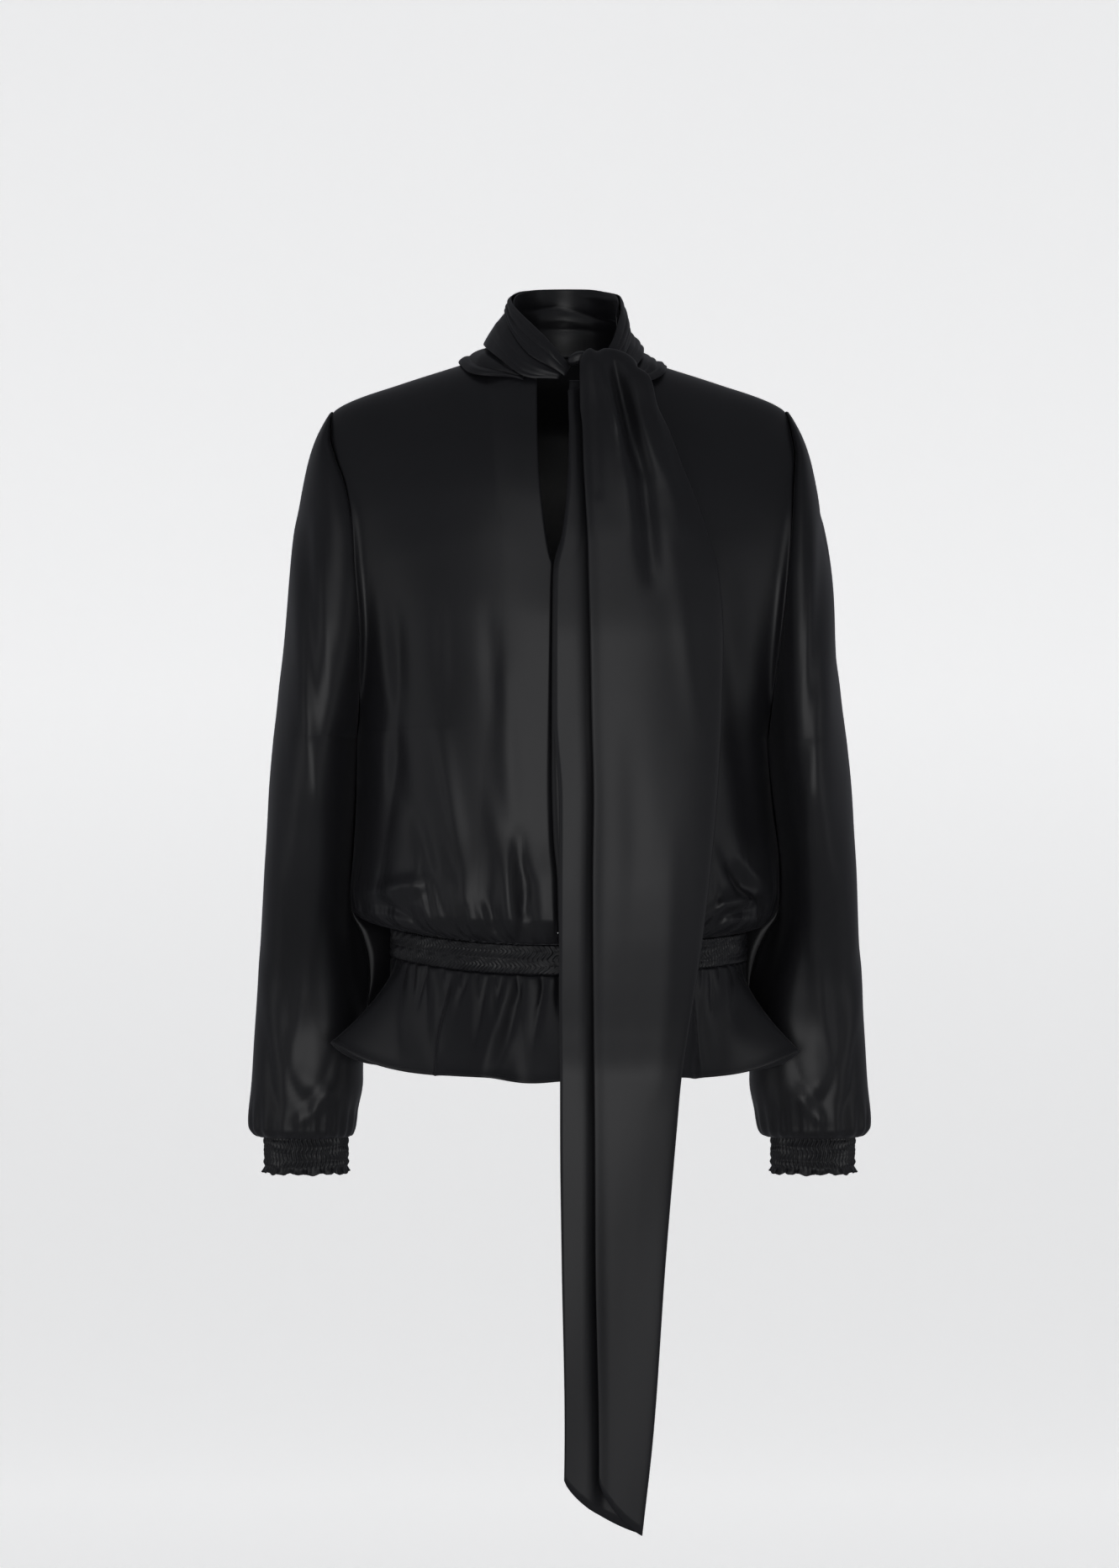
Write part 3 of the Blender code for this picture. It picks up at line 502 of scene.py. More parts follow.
# The tube starts where this side's underarm lies, and has its table's drops after this many rows.
UNDERARM_SETTLES = 4
# The inner half of a sleeve's section flattens against the body from this row down.
FLATTENS_FROM_ROW = 6
INNER_FLATNESS = 0.8
SLEEVE_FOLDS = table(
    "x0 drop0 x1 drop1 width depth",
    (233, 160, 222, 304, 8, 3.5),
    (222, 304, 203, 466, 9, 3.0),
    (222, 150, 214, 330, 8, -3.5),
    (213, 150, 203, 280, 7, 3.0),
    (243, 300, 250, 520, 14, 2.5),
    (228, 480, 236, 610, 12, -3.0),
    (226, 636, 196, 662, 9, 3.0),
    (262, 560, 240, 640, 12, 3.0),
)
# The back has the front's folds, moved by this much across and down; the left's lie further out.
SLEEVE_BACK_SHIFT = (12.0, 25.0)
SLEEVE_FOLD_BLEND = 60.0
SLEEVE_FOLD_SHIFT = {RIGHT: 0.0, LEFT: 9.0}
CUFF_X = 227.0
CUFF_Y = 18.0
CUFF_HALF_WIDTH = 36.0
CUFF_HALF_DEPTH = 33.0
CUFF_TOP_DROP = 685.5
CUFF_CLEARANCE = 2.0


def underarm_drop(side):
    edge = body(np.ones(1), np.full(1, UNDERARM_ROW / BODY_ROWS), side, FRONT, creased=False)
    return -edge[0, 2]


def sleeve_row(v):
    return SLEEVE_FIRST_ROW + v * (SLEEVE_ROWS - SLEEVE_FIRST_ROW)


def sleeve(turning, v, side):
    """A point of a sleeve: turning runs 0 to 1 from the front of the armhole round the outside to its back."""
    row = sleeve_row(v)
    in_cap = row < UNDERARM_ROW
    cap_row = np.minimum(row, UNDERARM_ROW)
    tube_row = np.maximum(row - UNDERARM_ROW, 0)
    edge = np.ones_like(row)
    front_edge = body(edge, cap_row / BODY_ROWS, side, FRONT, creased=False)
    back_edge = body(edge, cap_row / BODY_ROWS, side, BACK, creased=False)
    rise = column(BODY, "share", cap_row) * SLEEVE_SHALLOWER
    turn = np.arcsin(rise)
    seam_x = np.abs(front_edge[..., 0]) + SEAM + CAP_EASE * np.clip(1 - cap_row / 3, 0, 1)
    cap_outer = column(SLEEVE_CAP, "outer", cap_row)
    tube_outer = column(SLEEVE_TUBE, "outer", tube_row)
    tube_inner = column(SLEEVE_TUBE, side_word(side), tube_row)
    rise = np.maximum(rise, 1e-9)
    cap_front = (-front_edge[..., 1] - SEAM / 2) / rise
    cap_back = (back_edge[..., 1] - SEAM / 2) / rise
    flattened = np.clip((row - FLATTENS_FROM_ROW) / (UNDERARM_ROW - FLATTENS_FROM_ROW), 0, 1)
    flatness = 1 - (1 - INNER_FLATNESS) * flattened
    cap_half_width = (cap_outer - seam_x) / (1 + np.cos(turn) ** flatness)
    half_width = np.where(in_cap, cap_half_width, (tube_outer - tube_inner) / 2)
    outer = np.where(in_cap, cap_outer, tube_outer)
    front = np.where(in_cap, cap_front, column(SLEEVE_TUBE, "front", tube_row))
    back = np.where(in_cap, cap_back, column(SLEEVE_TUBE, "back", tube_row))
    middle_x = outer - half_width
    middle_y = np.where(in_cap, 0.0, column(SLEEVE_TUBE, "middle", tube_row))
    angle = turn + turning * (2 * math.pi - 2 * turn)
    lean = np.cos(angle)
    flat = np.where(lean > 0, np.abs(lean) ** flatness, lean)
    x = middle_x - half_width * flat
    depth = np.where(np.sin(angle) > 0, front, back)
    y = middle_y - depth * np.sin(angle)
    tuck = column(SLEEVE_TUBE, "tuck", tube_row)
    x = x + (CUFF_X - (CUFF_HALF_WIDTH + CUFF_CLEARANCE) * lean - x) * tuck
    y = y + (CUFF_Y - (CUFF_HALF_DEPTH + CUFF_CLEARANCE) * np.sin(angle) - y) * tuck
    lower = (underarm_drop(side) - SLEEVE_TUBE["drop"][0]) * np.clip(1 - tube_row / UNDERARM_SETTLES, 0, 1)
    drop = np.where(in_cap, -front_edge[..., 2], column(SLEEVE_TUBE, "drop", tube_row) + lower)
    fade = np.sin(math.pi * np.clip(turning, 0, 1)) * (1 - tuck)
    behind = np.clip(0.5 + y / SLEEVE_FOLD_BLEND, 0, 1)
    folds_x = x - SLEEVE_FOLD_SHIFT[side] + SLEEVE_BACK_SHIFT[0] * behind
    out = folds(SLEEVE_FOLDS, folds_x, drop + SLEEVE_BACK_SHIFT[1] * behind) * fade
    x = x - out * lean
    y = y - out * np.sin(angle)
    return place(side * x, y + SEAM * (turning - 0.5), -drop)


def cuff(a, v, side):
    angle = a * math.pi / 2
    flare = 1 + 0.05 * np.clip(v - 0.8, 0, 1) / 0.2
    x = CUFF_X + CUFF_HALF_WIDTH * flare * np.sin(angle)
    y = CUFF_Y - CUFF_HALF_DEPTH * flare * np.cos(angle)
    return place(side * x, y, -CUFF_TOP_DROP - v * CUFF_HEIGHT + 0 * a)


# Collar
# Each turn of the scarf is a strip between two edges. Its rows run from the front, over the right shoulder,
# round the back and over the left shoulder, with the upper edge, then the lower edge, and how far it bellies out.
COLLAR_COLUMNS = "top_x top_y top_z low_x low_y low_z belly"
WRAP_UPPER = table(
    COLLAR_COLUMNS,
    (10, -74, -9, 5, -79, -18, 0),
    (-7, -68, 12, -8, -78, -10.5, 2.5),
    (-21, -53, 27.5, -25.5, -69, 0, 2.5),
    (-36, -31, 44, -38, -53, 15, 2.5),
    (-42, -14, 53, -46, -33, 32, 2),
    (-43.5, 3, 60, -49.5, -8, 45, 1.5),
    (-36, 32, 68, -45, 29, 48, 2),
    (-18, 51, 71.5, -22, 54, 47, 2),
    (6, 58, 72.5, 6, 63, 46, 2),
    (30, 51, 71, 34, 54, 44, 2),
    (46, 32, 67, 54, 33, 42, 2),
    (54.5, 3, 60.5, 62.5, 0, 31, 2),
    (55, -19, 48, 64, -21, 21, 2),
    (51.5, -38, 32, 61, -42, 9, 2),
    (47, -52, 17, 56, -58, -1, 1.5),
    (42, -61, 7, 49, -67, -7, 0.5),
)
WRAP_LOWER = table(
    COLLAR_COLUMNS,
    (2, -75.5, -13, -0.5, -77.5, -20.5, 0),
    (-9, -73, -5.5, -21, -79, -20.5, 1.5),
    (-24, -64, 4, -33, -78, -17.5, 2),
    (-36, -48, 19, -47, -68, -6.5, 2.5),
    (-43.5, -29, 35, -59, -49, 4, 2.5),
    (-46.5, -6, 47, -67, -25, 13, 2),
    (-45, 8, 49, -68.5, 4, 17, 2),
    (-38, 30, 49, -57, 42, 20, 2),
    (-19, 49.5, 48, -29, 66, 21.5, 2),
    (6, 57.5, 47.5, 6, 74, 22, 2),
    (30, 50, 45.5, 39, 66, 21, 2),
    (46, 31, 43, 66, 42, 19, 2),
    (57, 4, 33, 76, 4, 13, 3),
    (57, -17, 22, 75, -28, 6, 2),
    (54, -37, 10, 70, -50, -4, 1.5),
    (48.5, -55, -1, 61, -66, -12, 0.5),
)
DRAPE = table(
    COLLAR_COLUMNS,
    (-31, -71, -15, -32, -76, -20.5, 0),
    (-43, -62, -8, -46, -70, -18.5, 3),
    (-53, -45, 2, -64, -64, -17, 5),
    (-60.5, -24, 11, -80, -50, -13, 6),
    (-61.5, 4, 15.5, -90, -12, -1, 7),
    (-52, 37, 18, -83, 36, -5, 6),
    (-27, 59, 20, -50, 70, -10, 5),
    (6, 67.5, 21, 6, 82, -12, 5),
    (37, 59, 19.5, 58, 71, -10, 5),
    (61, 36, 17, 89, 38, -6, 5),
    (73, 4, 10.5, 96, -4, -4, 5),
    (69, -26, 4, 94, -42, -11, 6),
    (64, -46, -6, 85, -58, -19, 5),
    (56, -62, -14, 73, -68, -23, 2),
)
STAND = table(
    COLLAR_COLUMNS,
    (-39, -26, 41, -50, -30, 8, -1),
    (-41.5, -6, 54, -60, -4, 11.5, -3),
    (-38.5, 12, 62.5, -57, 19, 15.5, -4),
    (-30, 33, 68, -46, 38, 15.5, -4),
    (-15, 48, 71, -23, 52.5, 10.6, -2.5),
    (6, 54, 72, 5, 57, 10.4, -1.5),
    (26, 48, 71, 34, 52.5, 11.5, -3),
    (41.5, 33, 67, 56, 38, 15.5, -5),
    (51, 12, 61.5, 67, 19, 14, -6),
    (53.2, -6, 54, 70.5, -4, 11, -6),
    (50.5, -26, 39, 64, -32, 2, -4),
)
BELLY_FULLNESS = 0.8


def strip(rows, u, v):
    """A point of a turn of the collar: u runs along it, v from its upper to its lower edge."""
    row = u * (len(rows["top_x"]) - 1)
    top = place(*(column(rows, name, row) for name in ("top_x", "top_y", "top_z")))
    low = place(*(column(rows, name, row) for name in ("low_x", "low_y", "low_z")))
    point = top + (low - top) * v[..., None]
    belly = column(rows, "belly", row) * np.sin(math.pi * np.clip(v, 0, 1)) ** BELLY_FULLNESS
    push_out(point, belly, point[..., 0] - NECK_X, point[..., 1])
    return point


KNOT_CENTRE = (16.0, -75.6, -2.2)
KNOT_RADII = (9.0, 5.5, 6.0)
# How far the loop's folds turn round it from end to end, in radians, and how it slants.
KNOT_TWIST = 3.15
KNOT_SLANT = 0.25
KNOT_RINGS, KNOT_SIDES = 26, 40


def knot_mesh():
    """The loop round the scarf: a closed bundle that lies across, with folds that wind round it."""
    step = np.arange(1, KNOT_RINGS)[:, None] / KNOT_RINGS
    across = math.pi * step
    angle = 2 * math.pi * np.arange(KNOT_SIDES)[None, :] / KNOT_SIDES + KNOT_TWIST * step
    ripple = 1 + 0.07 * np.cos(5 * angle) - 0.05 * np.abs(np.cos(2.5 * angle + 0.4))
    width, depth, height = KNOT_RADII
    x = -np.cos(across) * width
    y = np.sin(across) * np.cos(angle) * depth * ripple
    z = np.sin(across) * np.sin(angle) * height * ripple + KNOT_SLANT * x
    ends = np.array([[-width, 0, -KNOT_SLANT * width], [width, 0, KNOT_SLANT * width]])
    points = (np.concatenate([place(x, y, z).reshape(-1, 3), ends]) + np.array(KNOT_CENTRE)) * MM
    faces = grid_quads(KNOT_SIDES, KNOT_RINGS - 1, True, 0)[:, ::-1].tolist()
    last = (KNOT_RINGS - 2) * KNOT_SIDES
    first_pole = (KNOT_RINGS - 1) * KNOT_SIDES
    for i in range(KNOT_SIDES):
        k = (i + 1) % KNOT_SIDES
        faces.append((first_pole, i, k))
        faces.append((first_pole + 1, last + k, last + i))
    mesh = bpy.data.meshes.new("knot_cloth")
    mesh.from_pydata(points.tolist(), [], faces)
    mesh.shade_smooth()
    layer = mesh.uv_layers.new(name="weave")
    for loop in mesh.loops:
        co = mesh.vertices[loop.vertex_index].co
        layer.data[loop.index].uv = (co.x, co.z)
    mesh.materials.append(satin_material("satin"))
    return mesh


# Sash
# One wide strip folded in half down its length: the fold is its left edge as worn, the front layer is narrower
# than the one behind it. wrap is how far the fold lies back round the body.
SASH = table(
    "drop front fold behind depth gap wrap",
    (4, 17.5, 68, 9.0, 88, 4, 0),
    (20, 17.5, 79.5, 7.6, 95, 5, 3),
    (45, 17.8, 85.5, 7.6, 104, 6, 7),
    (66, 19.9, 95, 8.3, 112, 6, 10),
    (94, 20.6, 105, 8.3, 122, 6, 13),
    (135, 22.7, 121, 5.4, 134, 6, 17),
    (164, 24.2, 130, 1.8, 141, 6, 19),
    (193, 24.9, 138, -4.2, 145, 6, 20),
    (250, 26.3, 142, -5.2, 149, 6, 20),
    (315, 27.5, 140.4, -5.2, 149, 6, 19),
    (388, 29.2, 136.4, -0.6, 149, 6, 17),
    (460, 28.5, 129.6, -0.4, 150, 6, 14),
    (505, 28.6, 124, -0.4, 153, 6, 12),
    (545, 28.9, 118, -0.4, 158, 6, 8),
    (590, 29.2, 110.4, 0, 166, 6, 5),
    (629, 29.6, 104.3, 0.4, 171, 6, 4),
    (669, 30, 100.7, 0.4, 171, 6, 4),
    (785, 30.7, 91, 1.8, 168, 6, 3),
    (929, 33.6, 80.9, 4.3, 164, 6, 2),
    (1019, 34, 71, 3, 162, 5.5, 1),
)
SASH_FOLD_AT = 0.53
SASH_POINT_RISE = 47.0
SASH_ROLL = 0.04
SASH_FOLDS = table(
    "x0 drop0 x1 drop1 width depth",
    (34, 8, 48, 60, 6, 3.5),
    (48, 60, 66, 150, 8, 2.5),
    (56, 22, 70, 100, 6, -5.0),
    (70, 100, 80, 190, 9, -3.5),
    (70, 12, 88, 70, 7, 3.5),
    (88, 70, 104, 150, 9, 2.5),
    (30, 20, 33, 120, 5, -2.0),
)


def sash(s, v):
    """s runs from the free edge of the layer behind, round the fold, to the free edge in front."""
    rows = len(SASH["drop"]) - 1
    row = np.clip(v, 0, 1) * rows
    in_front = s > SASH_FOLD_AT
    share = np.where(in_front, (1 - s) / (1 - SASH_FOLD_AT), s / SASH_FOLD_AT)
    end_rise = SASH_POINT_RISE * (1 - share) ** 2.2
    top = SASH["drop"][0] + np.where(in_front, 0.0, 22.0) * (1 - share)
    full = column(SASH, "drop", row)
    last = SASH["drop"][-1]
    drop = top + (full - SASH["drop"][0]) / (last - SASH["drop"][0]) * (last - end_rise - top)

    def at(name):
        return along(drop, SASH["drop"], SASH[name])

    fold = at("fold")
    free = np.where(in_front, at("front"), at("behind"))
    gap = at("gap")
    x = free + (fold - free) * np.sin(math.pi / 2 * share ** 1.15) ** 1.15
    bend = np.sqrt(np.clip(1 - share**6, 0, 1)) * gap / 2
    wrap = at("wrap") * np.clip((x - 45) / np.maximum(fold - 45, 1), 0, 1) ** 2
    y = -at("depth") + gap / 2 + wrap + np.where(in_front, -bend, bend)
    out = folds(SASH_FOLDS, x, drop) * np.where(in_front, 1.0, 0.25) * (1 - share**10)
    return place(x, y - out, -drop)


def sash_with_roll(s, v):
    """The sash, and above it the stretch that rolls over the knot and back into the collar."""
    point = sash(s, v)
    rolled = np.clip(-v / SASH_ROLL, 0, 1)
    weight = np.where(s > SASH_FOLD_AT, 1 - ((1 - s) / (1 - SASH_FOLD_AT)) ** 4, 0.0)
    point[..., 1] += rolled * (3 + 12 * weight)
    point[..., 2] += np.sin(rolled * 2.2) * 9.5 * weight + rolled * 1.5
    return point


# Finer folds, each a curve through three points of a panel. A low sharp makes a crisp crease, 2 a soft swell.
CREASE_COLUMNS = "x0 drop0 x1 drop1 x2 drop2 width depth sharp"
FRONT_RIGHT_CREASES = table(
    CREASE_COLUMNS,
    (-121, 447, -116, 470, -107.7, 498, 4.5, -3.2, 1.4),
    (-112, 459, -108, 478, -102, 500, 3.5, 2.0, 2),
    (-101, 425, -88, 462, -81.5, 500, 5, -2.2, 1.3),
    (-83, 476, -82, 488, -80.5, 503, 2.5, -2.5, 1.2),
    (-71, 476, -67, 490, -65.5, 503, 3.5, 2.2, 2),
    (-62, 470, -58, 490, -54.6, 505, 3.5, -2.6, 1.3),
    (-36, 437, -28.5, 462, -33.6, 507, 3.5, -3.8, 1.2),
    (-44, 425, -43, 465, -42, 502, 7, 2.5, 2),
    (-15, 450, -14, 480, -16, 508, 5, 1.8, 2),
    (-165, 474, -146, 483, -126, 494.5, 5, -3.2, 1.4),
    (-154, 470, -135, 464, -117, 463, 8, 3.0, 2),
    (-159, 223, -146, 308, -154, 377, 9, 1.8, 2),
    (-140, 234, -143, 351, -157, 462, 7, -2.2, 1.6),
    (-111, 340, -99, 404, -82, 468, 5, -1.6, 1.3),
    (-63, 223, -58, 276, -52.6, 330, 9, -1.4, 2),
    (-103, 218, -102, 258, -100.6, 298, 8, -1.4, 2),
    (-58, 388, -50, 436, -42, 500, 8, 1.6, 2),
    (-31, 21.5, -36, 25, -42, 31, 2.2, -0.9, 1.3),
    (-34, 20, -46, 24, -58, 27, 3, -0.8, 1.5),
)
FRONT_LEFT_CREASES = table(
    CREASE_COLUMNS,
    (146, 446, 160, 464, 180, 480, 5, -6.0, 1.5),
    (150, 434, 168, 456, 185, 468, 6, 3.0, 2),
    (126, 494, 141, 480, 171, 475.7, 5, 4.0, 2),
    (133, 502, 145.7, 489.5, 175, 483, 3.5, -3.5, 1.3),
    (143, 499, 159.5, 494, 176, 494, 5, 3.0, 2),
    (120, 230, 128, 300, 122, 390, 9, -1.6, 2),
    (104, 300, 110, 390, 106, 470, 8, 1.8, 2),
    (60, 420, 62, 465, 60, 505, 5, -2.5, 1.5),
    (84, 400, 88, 455, 86, 503, 6, -2.5, 1.5),
    (112, 430, 116, 470, 112, 500, 5, -2.6, 1.4),
    (36, 26, 50, 30, 66, 34, 4, -0.8, 1.6),
)
BACK_CREASES = table(
    CREASE_COLUMNS,
    (-150, 452, -138, 474, -126, 498, 5, -3.0, 1.4),
    (-112, 430, -106, 470, -104, 502, 5, -3.0, 1.4),
    (-88, 380, -84, 440, -86, 500, 8, 2.4, 2),
    (-64, 445, -60, 476, -62, 505, 4, -3.0, 1.3),
    (-40, 400, -38, 460, -40, 506, 7, 2.2, 2),
    (-14, 440, -12, 478, -14, 508, 4.5, -3.0, 1.3),
    (10, 360, 12, 440, 10, 508, 8, 2.0, 2),
    (34, 452, 32, 480, 33, 507, 4, -3.0, 1.3),
    (58, 400, 56, 450, 58, 505, 7, 2.2, 2),
    (82, 436, 80, 470, 82, 503, 4.5, -3.2, 1.3),
    (108, 420, 104, 466, 104, 500, 5, -2.8, 1.4),
    (134, 440, 128, 470, 124, 500, 5, -3.0, 1.4),
    (160, 470, 144, 480, 130, 494, 5, -3.0, 1.5),
    (-120, 180, -126, 260, -118, 350, 12, -1.8, 2),
    (122, 190, 130, 270, 124, 360, 12, -1.8, 2),
    (-50, 200, -56, 290, -48, 380, 12, 1.4, 2),
    (56, 210, 50, 300, 58, 390, 12, 1.4, 2),
)
SLEEVE_CREASES = table(
    CREASE_COLUMNS,
    (214, 120, 212, 200, 204, 300, 5, -1.8, 1.6),
    (226, 190, 222, 290, 212, 400, 6, 1.8, 2),
    (240, 220, 243, 330, 238, 470, 9, -1.8, 2),
    (252, 330, 256, 430, 262, 540, 7, 1.5, 2),
    (206, 470, 214, 540, 208, 620, 8, -2.2, 1.8),
    (222, 520, 232, 590, 246, 650, 7, 2.2, 2),
    (196, 600, 208, 640, 232, 662, 6, -2.4, 1.5),
    (246, 600, 238, 640, 220, 672, 6, -2.2, 1.5),
    (262, 610, 258, 650, 246, 676, 5, -2.0, 1.5),
    (204, 640, 214, 662, 230, 676, 5, 2.0, 2),
)
SASH_CREASES = table(
    CREASE_COLUMNS,
    (47, 3, 54, 44, 63, 88, 4.5, -9.0, 1.5),
    (58, 72, 72, 108, 80, 200, 8, -5.0, 1.7),
    (34, 3, 45, 36, 55, 84, 6, 4.5, 2),
    (58, 8, 70, 52, 86, 108, 7, 4.0, 2),
    (24, 12, 26, 70, 30, 160, 3, -1.2, 1.6),
    (78, 20, 92, 60, 108, 120, 5, -1.2, 2),
    (92, 150, 108, 230, 120, 330, 10, 1.5, 2),
    (60, 320, 66, 430, 62, 560, 12, -1.2, 2),
    (96, 420, 94, 520, 84, 640, 10, 1.2, 2),
)
# The layer behind dips in past the front layer's free edge, which lifts a little.
SASH_RECESS = 6.0
SASH_RECESS_RUN = 12.0
SASH_LIFT = 1.5
SASH_LIFT_RUN = 7.0
# Its top is rounded: lower past these places across, with a notch between them.
SASH_TOP_LEFT = 42.0
SASH_TOP_RIGHT = 27.0
SASH_NOTCH = 33.0
SASH_TOP_FALL = 8.0
# How far the back of a sleeve's inner half reaches in behind the body, which shuts the gap beside the waist.
SLEEVE_INWARD = table(
    "drop reach",
    (330, 0),
    (370, 8),
    (430, 10),
    (480, 12),
    (493, 24),
    (505, 42),
    (525, 46),
    (545, 38),
    (568, 22),
    (600, 3),
    (630, 0),
    (700, 0),
)
SLEEVE_INWARD_ANGLE = 150.0
SLEEVE_INWARD_SPREAD = 30.0
# The back of a sleeve has the front's creases this much further down.
SLEEVE_CREASE_SHIFT = 30.0
# Small gathers where a sleeve blouses over its cuff.
OVER_CUFF_FROM = 560.0
OVER_CUFF_DROP = 676.0
OVER_CUFF_RUN = 14.0
OVER_CUFF_GATHERS = 22
# How many rows of cloth each row of the sleeve's tables gets.
SLEEVE_FINENESS = [4, 5, 5, 6, 6, 6, 7, 7, 6, 4, 3] + [7] * 9 + [5] * 5
# The peplum's creases: x is along its waist seam from centre front, drop is along the cloth from the seam.
PEPLUM_CREASES = table(
    CREASE_COLUMNS,
    (-124, 0, -132, 50, -140, 100, 5.5, -4.5, 1.5),
    (-112, 4, -119, 50, -126, 98, 5, 2.5, 2),
    (-49, 0, -57, 50, -65, 100, 5, -4.0, 1.5),
    (-60, 6, -67, 50, -75, 98, 5, 2.2, 2),
    (-85, 0, -86, 30, -84, 66, 3.2, -3.6, 1.3),
    (-192, 0, -178, 50, -165, 96, 6, -4.2, 1.6),
    (-158, 0, -160, 16, -163, 38, 2.6, -3.0, 1.3),
    (-106, 0, -107, 10, -109, 26, 2.2, -2.6, 1.3),
    (-68, 0, -70, 12, -72, 30, 2.2, -2.6, 1.3),
    (-24, 0, -27, 24, -33, 60, 3.2, -3.4, 1.3),
    (-8, 0, -9, 14, -8, 34, 2.6, -2.6, 1.3),
    (24, 0, 26, 20, 30, 46, 3.0, -3.0, 1.3),
    (60, 0, 61, 20, 64, 48, 3.0, -3.0, 1.3),
    (98, 0, 99, 14, 103, 34, 2.6, -2.8, 1.3),
    (120, 0, 122, 18, 127, 40, 2.6, -2.8, 1.3),
    (139, 0, 143, 50, 142, 96, 6, -4.6, 1.5),
    (183, 0, 168, 40, 178, 90, 7, 3.0, 2),
    (160, 0, 161, 16, 158, 40, 2.6, -3.0, 1.3),
    (214, 0, 220, 40, 226, 90, 6, -3.6, 1.6),
    (252, 0, 252, 20, 256, 44, 3.0, -3.0, 1.3),
    (296, 0, 302, 46, 306, 92, 6, -3.6, 1.5),
    (340, 0, 340, 26, 344, 58, 3.4, -3.2, 1.3),
    (384, 0, 388, 46, 392, 94, 6, -3.8, 1.5),
    (430, 0, 431, 24, 428, 50, 3.0, -3.0, 1.3),
    (468, 0, 470, 40, 466, 84, 5, -3.4, 1.4),
    (-214, 0, -222, 40, -228, 90, 6, -3.6, 1.6),
    (-250, 0, -252, 20, -250, 44, 3.0, -3.0, 1.3),
    (-300, 0, -304, 46, -310, 92, 6, -3.6, 1.5),
    (-344, 0, -345, 26, -342, 58, 3.4, -3.2, 1.3),
    (-388, 0, -392, 46, -396, 94, 6, -3.8, 1.5),
    (-432, 0, -434, 24, -430, 50, 3.0, -3.0, 1.3),
    (-470, 0, -474, 40, -478, 84, 5, -3.4, 1.4),
)
PEPLUM_MM_A_DEGREE = 2.7
WAIST_GATHER_PITCH = 10.0
WAIST_GATHER_RUN = 25.0
WAIST_GATHER_DEPTH = 2.2
# A quarter's length along the waist as the gathers count it, and how far the back's lie from the front's.
WAIST_QUARTER = 240.0
WAIST_FACE_SHIFT = 17.0
# Powers of the fades that keep a panel's side seam and its centre-front edge clear of creases.
SEAM_FADE = 10
SLIT_FADE = 40


def creases(rows, x, drop):
    """The sum of a table's curved folds: each is deepest midway and dies out at its ends."""
    total = np.zeros(np.broadcast(x, drop).shape)
    for x0, drop0, x1, drop1, x2, drop2, width, depth, sharp in zip(*rows.values()):
        first = math.hypot(x1 - x0, drop1 - drop0)
        second = math.hypot(x2 - x1, drop2 - drop1)
        nearest = np.full(total.shape, 1e9)
        where = np.zeros(total.shape)
        for ax, ad, bx, bd, length, before in (
            (x0, drop0, x1, drop1, first, 0.0),
            (x1, drop1, x2, drop2, second, first),
        ):
            on = np.clip(((x - ax) * (bx - ax) + (drop - ad) * (bd - ad)) / length**2, 0, 1)
            off = np.hypot(x - ax - on * (bx - ax), drop - ad - on * (bd - ad))
            closer = off < nearest
            nearest = np.where(closer, off, nearest)
            where = np.where(closer, (before + on * length) / (first + second), where)
        swell = np.sin(math.pi * (0.08 + 0.84 * where))
        total += depth * swell * np.exp(-((nearest / width) ** sharp))
    return total


def waist_gathers(across_mm, above):
    """Short tight gathers just above a smocked seam, from the distances across and above it."""
    phase = 2 * math.pi * across_mm / WAIST_GATHER_PITCH
    bent = phase / 2 + 0.85 * np.sin(phase / 5.3) + 0.45 * np.sin(phase / 2.7)
    ripple = 2 * np.abs(np.sin(bent)) ** 0.7 - 1.2
    uneven = 0.7 + 0.3 * np.sin(phase / 3.1 + 1.0)
    run = WAIST_GATHER_RUN * (1 + 0.5 * np.sin(phase / 4.3 + 0.6))
    return WAIST_GATHER_DEPTH * ripple * uneven * np.exp(-((np.maximum(above, 0) / run) ** 1.5))


# Making the cloth
def normals(point, across, down, ring):
    """Unit normals of a surface, from small steps to either side."""
    low_u, high_u = across - STEP, across + STEP
    if not ring:
        low_u, high_u = np.maximum(low_u, across.min()), np.minimum(high_u, across.max())
    low_v, high_v = np.maximum(down - STEP, down.min()), np.minimum(down + STEP, down.max())
    n = np.cross(point(high_u, down) - point(low_u, down), point(across, high_v) - point(across, low_v))
    return n / np.maximum(np.linalg.norm(n, axis=-1, keepdims=True), 1e-12)


def grid_quads(count, rows, ring, offset):
    """Quads of a grid of points, as an array of corner numbers."""
    columns = count if ring else count - 1
    j, i = np.meshgrid(np.arange(rows - 1), np.arange(columns), indexing="ij")
    k = (i + 1) % count
    quads = np.stack([j * count + i, j * count + k, (j + 1) * count + k, (j + 1) * count + i], axis=-1)
    return quads.reshape(-1, 4) + offset


def arc_lengths(points, ring):
    """Distances along each row and down each column, for the weave's coordinates."""
    closed = np.concatenate([points, points[:, :1]], axis=1) if ring else points
    steps = np.linalg.norm(np.diff(closed, axis=1), axis=-1)
    along_row = np.concatenate([np.zeros((len(points), 1)), np.cumsum(steps, axis=1)], axis=1)
    along_row -= along_row[:, along_row.shape[1] // 2][:, None]
    falls = np.linalg.norm(np.diff(points, axis=0), axis=-1)
    down_column = np.concatenate([np.zeros((1, points.shape[1])), np.cumsum(falls, axis=0)])
    if ring:
        down_column = np.concatenate([down_column, down_column[:, :1]], axis=1)
    return along_row, down_column


def add_object(name, data):
    made = bpy.data.objects.new(name, data)
    bpy.context.scene.collection.objects.link(made)
    return made


